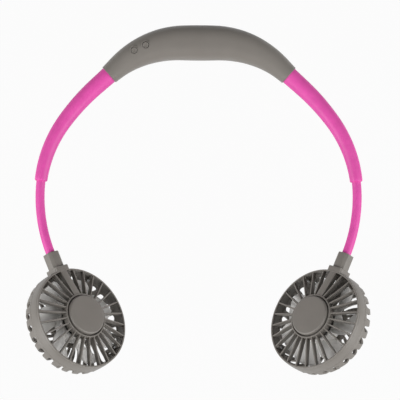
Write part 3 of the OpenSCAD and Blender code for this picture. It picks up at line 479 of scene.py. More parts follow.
class Bench:
    """Modelling steps that the pieces share, each made of Blender's own operators."""

    @staticmethod
    def hold(*pieces: Object) -> None:
        """Selects only these objects and makes the first of them active.

        Args:
            *pieces: The objects.
        """
        if bpy.context.object and bpy.context.object.mode != "OBJECT":
            bpy.ops.object.mode_set(mode="OBJECT")
        bpy.ops.object.select_all(action="DESELECT")
        for piece in pieces:
            piece.select_set(True)
        bpy.context.view_layer.objects.active = pieces[0]

    @staticmethod
    def start(name: str, primitive: Callable[..., object], **options: object) -> Object:
        """Adds a primitive with nothing else selected.

        Args:
            name: Name of the new object.
            primitive: The operator that adds it.
            **options: The operator's own options.

        Returns:
            The new object.
        """
        bpy.ops.object.select_all(action="DESELECT")
        primitive(**options)
        made = bpy.context.object
        made.name = made.data.name = name
        return made

    @staticmethod
    @contextmanager
    def editing(piece: Object, mode: str = "FACE") -> Iterator[None]:
        """Holds a piece in edit mode, with all of it selected at first.

        Args:
            piece: The piece.
            mode: What is selected: VERT, EDGE or FACE.
        """
        Bench.hold(piece)
        bpy.ops.object.mode_set(mode="EDIT")
        bpy.ops.mesh.select_mode(type=mode)
        bpy.ops.mesh.select_all(action="SELECT")
        yield
        bpy.ops.object.mode_set(mode="OBJECT")

    @staticmethod
    def pick(piece: Object, test: Callable[[Vector, Vector], bool], mode: str = "FACE") -> None:
        """Selects, in edit mode, what a test of place and normal keeps.

        Args:
            piece: The piece in edit mode.
            test: Takes a place and a normal.
            mode: What is selected: VERT or FACE.
        """
        bpy.ops.mesh.select_mode(type=mode)
        bpy.ops.mesh.select_all(action="DESELECT")
        mesh = bmesh.from_edit_mesh(piece.data)
        if mode == "FACE":
            for face in mesh.faces:
                face.select_set(test(face.calc_center_median(), face.normal))
        else:
            for vert in mesh.verts:
                vert.select_set(test(vert.co, vert.normal))
            mesh.select_flush_mode()
        bmesh.update_edit_mesh(piece.data)

    @staticmethod
    def turn(name: str, outline: Sequence[Point], sides: int) -> Object:
        """Turns an outline about Z: one ring, extruded and resized from point to point.

        Args:
            name: Name of the new object.
            outline: Radius and height of each point. A radius of zero at an end closes it, and an
                outline that ends where it starts becomes a closed ring.
            sides: Number of sides round the ring.

        Returns:
            The new object.
        """
        pole = outline[0][0] == 0
        rings = outline[1:] if pole else outline
        piece = Bench.start(name, bpy.ops.mesh.primitive_circle_add, vertices=sides,
                            radius=rings[0][0], fill_type="TRIFAN" if pole else "NOTHING")
        with Bench.editing(piece, "EDGE"):
            bpy.ops.transform.translate(value=(0, 0, rings[0][1]))
            if pole:
                bpy.ops.mesh.region_to_loop()
            for (last_r, last_z), (r, z) in zip(rings, rings[1:]):
                bpy.ops.mesh.extrude_region_move(TRANSFORM_OT_translate={"value": (0, 0, z - last_z)})
                share = r / last_r
                bpy.ops.transform.resize(value=(share, share, 1), center_override=(0, 0, z))
                if r == 0:
                    bpy.ops.mesh.merge(type="CENTER")
            bpy.ops.mesh.select_all(action="SELECT")
            bpy.ops.mesh.remove_doubles(threshold=0.000001)
            bpy.ops.mesh.normals_make_consistent(inside=False)
        return piece

    @staticmethod
    def plug(name: str, radius: float, start: float, end: float, sides: int) -> Object:
        """Adds a closed cylinder about Z.

        Args:
            name: Name of the new object.
            radius: Its radius.
            start: Height of its first end.
            end: Height of its other end.
            sides: Number of sides round it.

        Returns:
            The new object.
        """
        return Bench.turn(name, [(0, start), (radius, start), (radius, end), (0, end)], sides)

    @staticmethod
    def block(name: str, low: Sequence[float], high: Sequence[float]) -> Object:
        """Adds a block between two corners, to be shaped further.

        Args:
            name: Name of the new object.
            low: Its lowest corner.
            high: Its highest corner.

        Returns:
            The new object.
        """
        piece = Bench.start(name, bpy.ops.mesh.primitive_cube_add, size=1)
        with Bench.editing(piece, "VERT"):
            bpy.ops.transform.resize(value=[b - a for a, b in zip(low, high)])
            bpy.ops.transform.translate(value=[(a + b) / 2 for a, b in zip(low, high)])
        return piece

    @staticmethod
    def shape(piece: Object, rule: Callable[[Vector], Vector]) -> Object:
        """Moves each point of a piece by a rule and turns its faces outwards again.

        Args:
            piece: The piece.
            rule: Takes a point's place and gives its new one.

        Returns:
            The piece.
        """
        for vert in piece.data.vertices:
            vert.co = rule(vert.co.copy())
        with Bench.editing(piece):
            bpy.ops.mesh.normals_make_consistent(inside=False)
        return piece

    @staticmethod
    def modify(piece: Object, kind: str, **values: object) -> Object:
        """Adds a modifier and applies it.

        Args:
            piece: The piece.
            kind: The modifier's type.
            **values: Its settings.

        Returns:
            The piece.
        """
        Bench.hold(piece)
        modifier = piece.modifiers.new(kind, kind)
        for key, value in values.items():
            setattr(modifier, key, value)
        bpy.ops.object.modifier_apply(modifier=modifier.name)
        return piece

    @staticmethod
    def thicken(piece: Object, wall: float, up: bool, group: str = "") -> Object:
        """Gives an open skin a wall on its inner side.

        Args:
            piece: The skin, whose faces agree with each other.
            wall: Thickness of the wall.
            up: Whether the skin's outer side mostly faces up.
            group: Vertex group that scales the wall, if there is one.

        Returns:
            The piece.
        """
        if (sum(face.normal.z * face.area for face in piece.data.polygons) > 0) != up:
            with Bench.editing(piece):
                bpy.ops.mesh.flip_normals()
        return Bench.modify(piece, "SOLIDIFY", thickness=wall, offset=-1, vertex_group=group,
                            use_even_offset=True)

    @staticmethod
    def cut(piece: Object, *cutters: Object) -> Object:
        """Cuts closed pieces out of a piece and removes them.

        Args:
            piece: The piece that is cut.
            *cutters: The pieces that are cut out.

        Returns:
            The piece.
        """
        for cutter in cutters:
            Bench.modify(piece, "BOOLEAN", operation="DIFFERENCE", object=cutter, solver="EXACT")
            bpy.data.objects.remove(cutter)
        return piece

    @staticmethod
    def soften(piece: Object, width: float, segments: int = 2, over: float = 40.0) -> Object:
        """Rounds the edges that are sharper than an angle.

        Args:
            piece: The piece.
            width: Width of the rounding in metres.
            segments: Steps of the rounding.
            over: The angle in degrees.

        Returns:
            The piece.
        """
        return Bench.modify(piece, "BEVEL", width=width, segments=segments, limit_method="ANGLE",
                            angle_limit=math.radians(over), use_clamp_overlap=True)

    @staticmethod
    def smooth(piece: Object, under: float = 32.0) -> Object:
        """Shades a piece smooth across its blunt edges.

        Args:
            piece: The piece.
            under: Angle in degrees under which an edge is blunt.

        Returns:
            The piece.
        """
        Bench.hold(piece)
        bpy.ops.object.shade_smooth_by_angle(angle=math.radians(under))
        return piece

    @staticmethod
    def place(piece: Object, matrix: Matrix) -> Object:
        """Moves a piece and leaves its place in its mesh.

        Args:
            piece: The piece.
            matrix: Where it goes.

        Returns:
            The piece.
        """
        Bench.hold(piece)
        piece.matrix_world = matrix
        bpy.ops.object.transform_apply(location=True, rotation=True, scale=True)
        return piece

    @staticmethod
    def around(piece: Object, turns: Iterable[float]) -> list[Object]:
        """Copies a piece to each of some turns about Z, each copy with its own mesh.

        Args:
            piece: The piece, which is removed.
            turns: The turns in degrees.

        Returns:
            The copies.
        """
        made = []
        for turn in turns:
            Bench.hold(piece)
            bpy.ops.object.duplicate(linked=False)
            made.append(Bench.place(bpy.context.object, Matrix.Rotation(math.radians(turn), 4, "Z")))
        bpy.data.objects.remove(piece)
        return made

    @staticmethod
    def join(name: str, pieces: Sequence[Object]) -> Object:
        """Joins pieces into one object.

        Args:
            name: Name of the joined object.
            pieces: The pieces.

        Returns:
            The joined object.
        """
        Bench.hold(*pieces)
        bpy.ops.object.join()
        joined = bpy.context.object
        joined.name = joined.data.name = name
        return joined


class Piece:
    """Dresses finished pieces, ties them to their bodies and hides the CAD nodes that they stand for."""

    @staticmethod
    def dress(piece: Object, finish: Finish) -> Object:
        """Gives a piece its finish.

        Args:
            piece: The piece.
            finish: The finish.

        Returns:
            The piece.
        """
        piece.data.materials.clear()
        piece.data.materials.append(finish.material())
        return piece

    @staticmethod
    def hand_over(piece: Object, finish: Finish, slot: str, body: str | tuple[str, str],
                  nodes: Sequence[str], between: tuple[Vector, Vector] | None = None) -> Object:
        """Dresses a piece, ties a piece on one body to that body and hides the CAD nodes that it stands
        for.

        Args:
            piece: The piece.
            finish: Its finish.
            slot: The record's material slot. It is not used.
            body: The body that it rides on, or the two bodies that it lies between, which are only logged.
            nodes: The CAD nodes that it stands for.
            between: Where its bend starts and ends, for two bodies. Only whether it is given is read: then
                the piece's place is baked into its mesh and it is tied to no body.

        Returns:
            The piece.
        """
        Piece.dress(piece, finish)
        if between:
            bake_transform(piece)
        else:
            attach(piece, body)
        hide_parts(*nodes)
        LOG.info("%s: %d faces, on %s", piece.name, len(piece.data.polygons), body)
        return piece

    @staticmethod
    def keep(node: str, finish: Finish) -> None:
        """Gives a CAD node that stays in view a finish of its own.

        Args:
            node: Name of the CAD node.
            finish: The finish.
        """
        for slot in frame["nodes"][node].material_slots:
            slot.material = finish.material()
        LOG.info("%s: CAD node in %s", node, finish.name)


@dataclass
class Arch:
    """The housing's middle line, which bends down to its mouths, and its swelling section.

    Attributes:
        flat: Half length of the straight middle.
        bend_r: Radius of the bend.
        turn: Angle that each end turns through.
        mouth_len: Straight length from the bend to the mouth.
        width: Width at the middle.
        height: Height at the middle.
        mouth_d: Diameter at the mouths.
        axis_z: Height of the middle line over the table.
        wall: Wall at the middle.
        mouth_wall: Wall at the mouths.
        swell_power: How fast the swell fades.
        roundness: Power of the section at the mouths.
        squareness: How much the power grows at the middle.
    """

    flat: float = 11.2 * MM
    bend_r: float = 70 * MM
    turn: float = math.radians(42)
    mouth_len: float = 7 * MM
    width: float = 24.8 * MM
    height: float = 23.2 * MM
    mouth_d: float = 14.2 * MM
    axis_z: float = 11 * MM
    wall: float = 1.6 * MM
    mouth_wall: float = 0.65 * MM
    swell_power: float = 1.35
    roundness: float = 2.0
    squareness: float = 0.6

    @property
    def length(self) -> float:
        """Returns the length of the middle line from its middle to a mouth."""
        return self.flat + self.bend_r * self.turn + self.mouth_len

    def spot(self, s: float) -> tuple[float, float, float]:
        """Finds a place on the middle line.

        Args:
            s: Distance from its middle.

        Returns:
            The place's x and y and the line's turn there.
        """
        away = abs(s)
        sign = math.copysign(1, s)
        turn = min(max(away - self.flat, 0) / self.bend_r, self.turn)
        past = max(away - self.length + self.mouth_len, 0)
        x = min(away, self.flat) + self.bend_r * math.sin(turn) + past * math.cos(turn)
        y = -self.bend_r * (1 - math.cos(turn)) - past * math.sin(turn)
        return sign * x, y, sign * turn

    def swell(self, s: float) -> float:
        """Returns the section's swell: 1 at the middle and 0 at the mouths."""
        return max(1 - (s / self.length) ** 2, 0) ** self.swell_power

    def section(self, s: float) -> tuple[float, float, float, float]:
        """Sizes the section at a distance from the middle.

        Args:
            s: The distance.

        Returns:
            Half its width, half its height, its power and its wall.
        """
        swell = self.swell(s)
        thin = self.mouth_d / 2
        return (thin + (self.width / 2 - thin) * swell, thin + (self.height / 2 - thin) * swell,
                self.roundness + self.squareness * swell,
                self.mouth_wall + (self.wall - self.mouth_wall) * swell)

    def skin(self, s: float, angle: float) -> Vector:
        """Finds a point of the outer skin.

        Args:
            s: Distance from the middle.
            angle: Angle round the section, with 0 at its inner side and a quarter turn on top.

        Returns:
            The point.
        """
        x, y, turn = self.spot(s)
        half_w, half_h, power, _ = self.section(s)
        c, v = math.cos(angle), math.sin(angle)
        across = half_w * math.copysign(abs(c) ** (2 / power), c)
        rise = half_h * math.copysign(abs(v) ** (2 / power), v)
        return Vector((x + across * math.sin(turn), y + across * math.cos(turn), self.axis_z + rise))

    def bend_s(self, degrees: float) -> float:
        """Returns the distance from the middle at a turn of the bend."""
        return self.flat + self.bend_r * math.radians(degrees)

    def on_bend(self, degrees: float, aside: float, side: Side) -> tuple[float, float]:
        """Finds a point by its turn along the bend and its distance outside the middle line.

        Args:
            degrees: The turn.
            aside: The distance.
            side: The side of the housing.

        Returns:
            Its x and y.
        """
        turn = math.radians(degrees)
        reach = self.bend_r + aside
        return (side.sign * (self.flat + reach * math.sin(turn)),
                reach * math.cos(turn) - self.bend_r)

    def rise(self, degrees: float, aside: float) -> float:
        """Returns how far the skin is over or under the middle line at a point of the bend."""
        half_w, half_h, power, _ = self.section(self.bend_s(degrees))
        return half_h * (1 - (abs(aside) / half_w) ** power) ** (1 / power)


@dataclass
class Housing:
    """The arched housing: two shells, two buttons in raised rings, screw wells and the inlet.

    Attributes:
        arch: Its middle line and section.
        button_r: Radius of a button.
        button_gap: Gap round a button.
        button_edge: Rounding of a button's edge.
        button_dish: Depth of the dish in a button's top.
        button_turns: Turn of each button along the bend, in degrees.
        button_side: Distance of the buttons outside the middle line.
        ring_wall: Wall of a button's ring.
        ring_rise: Height of the rings and buttons over the shell.
        ring_edge: Rounding of a ring's edges.
        guide_rise: Height over the middle line at which the rings and flanges start.
        flange_r: Radius of a button's flange.
        flange_t: Thickness of a button's flange.
        stem_r: Radius of a button's stem.
        stem_low: Height over the middle line of a stem's foot.
        screws: Turn in degrees and distance outside the middle line of each screw.
        well_r: Radius of a screw's well.
        boss_r: Radius of a screw's boss.
        boss_bevel: Height of the bevel at the boss's foot.
        well_top: Height of the well's floor.
        shank_r: Radius of the hole under the well.
        inlet_turn: Turn of the inlet along the bend, in degrees.
        inlet_size: Width and height of the inlet's hole.
        inlet_drop: Height of the inlet's middle over the middle line.
        lid_gap: Gap over a boss, and over a button's flange.
        seam: Rounding of the shells' edges.
    """

    arch: Arch
    button_r: float = 2.2 * MM
    button_gap: float = 0.25 * MM
    button_edge: float = 0.6 * MM
    button_dish: float = 0.15 * MM
    button_turns: tuple[float, float] = (21.0, 28.0)
    button_side: float = 2.8 * MM
    ring_wall: float = 0.6 * MM
    ring_rise: float = 0.35 * MM
    ring_edge: float = 0.16 * MM
    guide_rise: float = 6.3 * MM
    flange_r: float = 3.0 * MM
    flange_t: float = 0.8 * MM
    stem_r: float = 1.2 * MM
    stem_low: float = 5.2 * MM
    screws: tuple[Point, Point] = ((17.0, -5.75 * MM), (33.0, 0.0))
    well_r: float = 1.8 * MM
    boss_r: float = 2.6 * MM
    boss_bevel: float = 1.1 * MM
    well_top: float = 5 * MM
    shank_r: float = 0.9 * MM
    inlet_turn: float = 24.0
    inlet_size: Point = (7.7 * MM, 2.9 * MM)
    inlet_drop: float = -0.05 * MM
    lid_gap: float = 0.1 * MM
    seam: float = 0.12 * MM

    def build(self) -> None:
        """Builds the housing's pieces and hands them over."""
        Piece.hand_over(self.upper(), BODY_GRAY, "gray_plastic", "neck_housing", ["upper_shell"])
        Piece.hand_over(self.lower(), BODY_GRAY, "gray_plastic", "neck_housing", ["lower_shell"])
        for index, (key, node) in enumerate((("power_key", "power_button"),
                                             ("speed_key", "speed_button"))):
            Piece.hand_over(self.button(index, key), BUTTON_GRAY, "button_plastic", key, [node])

    def half(self, name: str, start: float, around: int = 48, along: int = 150) -> Object:
        """Bends a grid into one half of the housing's outer skin.

        Args:
            name: Name of the new object.
            start: Angle round the section at which the half starts.
            around: Faces round the half.
            along: Faces along it.

        Returns:
            The open skin, with the wall's share at each point in a vertex group.
        """
        piece = Bench.start(name, bpy.ops.mesh.primitive_grid_add, x_subdivisions=around,
                            y_subdivisions=along, size=1)
        group = piece.vertex_groups.new(name="wall")
        for vert in piece.data.vertices:
            s = 2 * vert.co.y * self.arch.length
            group.add([vert.index], self.arch.section(s)[3] / self.arch.wall, "REPLACE")
            vert.co = self.arch.skin(s, start + math.pi * (vert.co.x + 0.5))
        return piece

    def walled(self, piece: Object, up: bool) -> Object:
        """Gives an open skin its wall and rounds the wall's edges.

        Args:
            piece: The skin.
            up: Whether most of it faces up.

        Returns:
            The shell.
        """
        with Bench.editing(piece):
            bpy.ops.mesh.normals_make_consistent(inside=False)
        Bench.thicken(piece, self.arch.wall, up, "wall")
        return Bench.soften(piece, self.seam, over=60)

    def at_button(self, index: int) -> Matrix:
        """Returns the place of a button's axis at the height of the middle line."""
        x, y = self.arch.on_bend(self.button_turns[index], self.button_side, Side.LEFT)
        return Matrix.Translation((x, y, self.arch.axis_z))

    def button_top(self, index: int) -> float:
        """Returns the height of a button's top over the middle line."""
        return self.arch.rise(self.button_turns[index], self.button_side) + self.ring_rise

    def inlet_hole(self) -> Object:
        """Builds the block that cuts the inlet's hole.

        Returns:
            The block.
        """
        x, y = self.arch.on_bend(self.inlet_turn, 0, Side.LEFT)
        wide, high = self.inlet_size
        reach = self.arch.width
        cutter = Bench.block("inlet_cutter", (-wide / 2, self.arch.mouth_d / 2, -high / 2),
                             (wide / 2, reach, high / 2))
        Bench.soften(cutter, high / 3, segments=4, over=60)
        return Bench.place(cutter, Matrix.Translation((x, y, self.arch.axis_z + self.inlet_drop))
                           @ Matrix.Rotation(math.radians(self.inlet_turn), 4, "Z"))

    def upper(self) -> Object:
        """Builds the upper shell with the rings round its buttons.

        Returns:
            The shell.
        """
        shell = self.walled(self.half("upper_case", 0.0), True)
        rings = []
        for index in range(len(self.button_turns)):
            top = self.button_top(index)
            inner = self.button_r + self.button_gap
            outer = inner + self.ring_wall
            hole = Bench.plug("button_cutter", inner + self.ring_wall / 2, top, 0, 64)
            Bench.cut(shell, Bench.place(hole, self.at_button(index)))
            ring = Bench.turn("button_ring", [(inner, self.guide_rise), (inner, top), (outer, top),
                                              (outer, self.guide_rise), (inner, self.guide_rise)], 64)
            rings.append(Bench.place(Bench.soften(ring, self.ring_edge, 3, 60), self.at_button(index)))
        Bench.cut(shell, self.inlet_hole())
        return Bench.smooth(Bench.join("upper_case", [shell, *rings]))

    def lower(self) -> Object:
        """Builds the lower shell with its flat underside and its screw wells.

        Returns:
            The shell.
        """
        shell = self.walled(self.half("lower_case", math.pi), False)
        with Bench.editing(shell):
            bpy.ops.mesh.bisect(plane_co=(0, 0, 0), plane_no=(0, 0, -1), use_fill=True,
                                clear_outer=True, threshold=0.0000001)
        bosses = []
        for side in Side:
            for turn, aside in self.screws:
                x, y = self.arch.on_bend(turn, aside, side)
                here = Matrix.Translation((x, y, 0))
                well = Bench.plug("well_cutter", self.well_r, self.well_top, -MM, 48)
                Bench.cut(shell, Bench.place(well, here))
                low = self.arch.axis_z - self.arch.rise(turn, aside) + self.arch.mouth_wall
                top = self.arch.axis_z - self.lid_gap
                boss = Bench.turn("well_boss", [(self.well_r, low), (self.well_r + self.seam, low),
                                                (self.boss_r, low + self.boss_bevel),
                                                (self.boss_r, top), (self.shank_r, top),
                                                (self.shank_r, self.well_top),
                                                (self.well_r, self.well_top),
                                                (self.well_r, low)], 48)
                bosses.append(Bench.place(boss, here))
        Bench.cut(shell, self.inlet_hole())
        return Bench.smooth(Bench.join("lower_case", [shell, *bosses]))

    def button(self, index: int, name: str) -> Object:
        """Builds a push button: a dished cap, its captive flange and its stem.

        Args:
            index: Number of the button.
            name: Name of the button.

        Returns:
            The button.
        """
        top = self.button_top(index)
        r, edge, dish = self.button_r, self.button_edge, self.button_dish
        flange_top = self.guide_rise - self.lid_gap
        cap = [(0, top - dish), (r * 0.4, top - dish * 0.8), (r * 0.7, top - dish * 0.25),
               (r - edge, top), (r - edge * 0.6, top - edge * 0.08), (r - edge * 0.3, top - edge * 0.28),
               (r - edge * 0.08, top - edge * 0.6), (r, top - edge)]
        foot = [(r, flange_top), (self.flange_r, flange_top),
                (self.flange_r, flange_top - self.flange_t), (self.stem_r, flange_top - self.flange_t),
                (self.stem_r, self.stem_low), (0, self.stem_low)]
        made = Bench.turn(f"{name}_cap", cap + foot, 64)
        return Bench.smooth(Bench.place(made, self.at_button(index)))


@dataclass
class Arm:
    """An arm: the thick sleeve out of the housing, and the hose with its wire and leads.

    Attributes:
        side: Side of the arm.
        arch: The housing's middle line, which the arm goes on from.
        lean: Angle by which the arm's plane rises from the table.
        run: Straight run out of the mouth.
        bends: Radius and turn of each bend.
        sleeve_len: Length of the sleeve outside the mouth.
        sleeve_r: Radius of the sleeve at the mouth.
        sleeve_end_r: Radius of the sleeve at its thin end.
        root_len: Length of the sleeve inside the mouth.
        flange_t: Thickness of the sleeve's flange.
        flange_extra: Height of the flange.
        bore_r: Radius of the sleeve's bore.
        lip: Rounding of the sleeve's end.
        flare: Widening of the sleeve's bore at its end.
        flare_run: Where the widening starts, where it is over and where the even bore starts, from
            the sleeve's end.
        hose_r: Radius of the hose.
        hose_wall: Wall of the hose.
        hose_from: Start of the hose, inside the housing.
        hose_past: Length of the hose past the arm's end.
        core_r: Radius of the gooseneck wire.
        core_drop: Height of the wire over the hose's middle.
        lead_r: Radius of a lead.
        lead_rise: Height of the leads over the hose's middle.
        lead_side: Distance of each lead to the side.
        step: Length between rings.
        span_joins: Where the hose's spans meet.
        bend_runs: Where the bend of each span starts and ends.
        sides: Sides round the sleeve and the hose.
    """

    side: Side
    arch: Arch
    lean: float = math.radians(10.33)
    run: float = 12.7 * MM
    bends: tuple[Point, ...] = ((150 * MM, math.radians(12.7)), (87 * MM, math.radians(33.3)),
                                (109 * MM, math.radians(24.6)))
    sleeve_len: float = 91 * MM
    sleeve_r: float = 6.3 * MM
    sleeve_end_r: float = 4.45 * MM
    root_len: float = 8 * MM
    flange_t: float = 1.8 * MM
    flange_extra: float = 0.35 * MM
    bore_r: float = 3.35 * MM
    lip: float = 0.8 * MM
    flare: float = 0.15 * MM
    flare_run: tuple[float, float, float] = (0.03 * MM, 0.25 * MM, 2 * MM)
    hose_r: float = 3.2 * MM
    hose_wall: float = 0.9 * MM
    hose_from: float = -13.9 * MM
    hose_past: float = 4 * MM
    core_r: float = 1.1 * MM
    core_drop: float = -0.9 * MM
    lead_r: float = 0.55 * MM
    lead_rise: float = 1.2 * MM
    lead_side: float = 0.65 * MM
    step: float = 2.2 * MM
    span_joins: Point = (50 * MM, 118.5 * MM)
    bend_runs: tuple[Point, ...] = ((3 * MM, 42 * MM), (94 * MM, 116 * MM), (121 * MM, 139 * MM))
    sides: tuple[int, int] = (56, 48)

    @property
    def length(self) -> float:
        """Returns the length of the arm from the mouth to the fan's neck."""
        return self.run + sum(radius * turn for radius, turn in self.bends)

    def at(self, s: float, aside: float = 0.0, rise: float = 0.0) -> Vector:
        """Finds a point by its place along the arm.

        Args:
            s: Distance from the mouth along the arm's middle line.
            aside: Distance to the line's outer side.
            rise: Distance over the line.

        Returns:
            The point.
        """
        x, y, turn = min(s, self.run), 0.0, 0.0
        left = s - self.run
        for radius, bend in self.bends:
            part = min(max(left / radius, 0), bend)
            x += radius * (math.sin(turn + part) - math.sin(turn))
            y -= radius * (math.cos(turn) - math.cos(turn + part))
            turn += part
            left -= radius * part
        past = max(left, 0)
        x += past * math.cos(turn) + aside * math.sin(turn)
        y += aside * math.cos(turn) - past * math.sin(turn)
        mouth_x, mouth_y, mouth_turn = self.arch.spot(self.arch.length)
        mouth = (Matrix.Translation((mouth_x, mouth_y, self.arch.axis_z))
                 @ Matrix.Rotation(-mouth_turn, 4, "Z") @ Matrix.Rotation(-self.lean, 4, "X"))
        point = mouth @ Vector((x, y, rise))
        point.x *= self.side.sign
        return point

    def along(self, low: float, high: float) -> list[float]:
        """Returns the stations between two distances, about a step apart."""
        count = max(round(abs(high - low) / self.step), 1)
        return [low + (high - low) * i / count for i in range(count + 1)]

    def bent(self, name: str, outline: Sequence[Point], sides: int, aside: float = 0.0,
             rise: float = 0.0) -> Object:
        """Turns an outline about a straight line and bends it along the arm.

        Args:
            name: Name of the new object.
            outline: Radius and distance from the mouth of each point.
            sides: Sides round it.
            aside: Distance of its own middle line to the arm's outer side.
            rise: Distance of its own middle line over the arm's.

        Returns:
            The new object.
        """
        piece = Bench.turn(f"{self.side.value}_{name}", outline, sides)
        Bench.shape(piece, lambda v: self.at(v.z, aside + v.x, rise + v.y))
        return Bench.smooth(piece, 40)

    def build(self) -> None:
        """Builds the arm's pieces and hands them over."""
        name = self.side.value
        Piece.hand_over(self.sleeve(), PINK_SILICONE, "pink_silicone", ("neck_housing", f"{name}_arm"),
                        [f"{name}_arm_sleeve"], self.bend_of(Span.ROOT))
        for span in Span:
            low, high = self.reach(span)
            bodies, bend = self.bodies(span), self.bend_of(span)
            Piece.hand_over(self.tube(span, low, high), PINK_SILICONE, "pink_silicone", bodies,
                            [f"{name}_hose"], bend)
            core = self.bent(f"core_{span.value}", self.rod(self.core_r, low, high), 16, 0,
                             self.core_drop)
            Piece.hand_over(core, CORE_WIRE, "steel", bodies, [f"{name}_gooseneck_core"], bend)
            leads = [self.bent(f"lead_{span.value}", self.rod(self.lead_r, low, high), 12,
                               sign * self.lead_side, self.lead_rise) for sign in (-1, 1)]
            Piece.hand_over(Bench.join(f"{name}_leads_{span.value}", leads), BLACK_LEAD, "black_lead",
                            bodies, [f"{name}_hose_leads"], bend)

    def reach(self, span: Span) -> Point:
        """Finds where a span of the hose starts and ends.

        Args:
            span: The span.

        Returns:
            Its distances from the mouth.
        """
        first, second = self.span_joins
        return {Span.ROOT: (self.hose_from, first), Span.MIDDLE: (first, second),
                Span.END: (second, self.length + self.hose_past)}[span]

    def bodies(self, span: Span) -> tuple[str, str]:
        """Names the two bodies that a span bends between.

        Args:
            span: The span.

        Returns:
            The bodies' names.
        """
        name = self.side.value
        return {Span.ROOT: ("neck_housing", f"{name}_arm"),
                Span.MIDDLE: (f"{name}_arm", f"{name}_hose_mid"),
                Span.END: (f"{name}_hose_mid", f"{name}_hose_end")}[span]

    def bend_of(self, span: Span) -> tuple[Vector, Vector]:
        """Finds where the bend of a span's joint starts and ends.

        Args:
            span: The span.

        Returns:
            The two points.
        """
        low, high = dict(zip(Span, self.bend_runs))[span]
        return self.at(low), self.at(high)

    def sleeve(self) -> Object:
        """Builds the thick sleeve: a flange behind the mouth, a long taper and a rounded lip.

        Returns:
            The sleeve.
        """
        end, lip = self.sleeve_len, self.lip
        thick = self.sleeve_r + self.flange_extra
        taper = [(self.sleeve_r + (self.sleeve_end_r - self.sleeve_r) * s / end, s)
                 for s in self.along(0, end - lip)]
        rounding = [(self.sleeve_end_r - lip * (1 - math.cos(t)), end - lip * (1 - math.sin(t)))
                    for t in (math.radians(a) for a in (20, 40, 60, 80))]
        first, last, even = self.flare_run
        bore = [(self.bore_r + self.flare, end - first), (self.bore_r, end - last)]
        bore += [(self.bore_r, s) for s in self.along(end - even, -self.root_len)]
        outline = [(thick, -self.root_len), (thick, self.flange_t - self.root_len),
                   (self.sleeve_r, self.flange_t - self.root_len)] + taper + rounding + bore
        return self.bent("sleeve_skin", outline + outline[:1], self.sides[0])

    def tube(self, span: Span, low: float, high: float) -> Object:
        """Builds a span of the hose.

        Args:
            span: The span.
            low: Where it starts.
            high: Where it ends.

        Returns:
            The span.
        """
        stations = self.along(low, high)
        inner = self.hose_r - self.hose_wall
        outline = ([(self.hose_r, s) for s in stations] + [(inner, s) for s in reversed(stations)])
        return self.bent(f"hose_{span.value}", outline + outline[:1], self.sides[1])

    def rod(self, radius: float, low: float, high: float) -> list[Point]:
        """Returns the outline of a closed rod between two distances."""
        return [(0, low)] + [(radius, s) for s in self.along(low, high)] + [(0, high)]


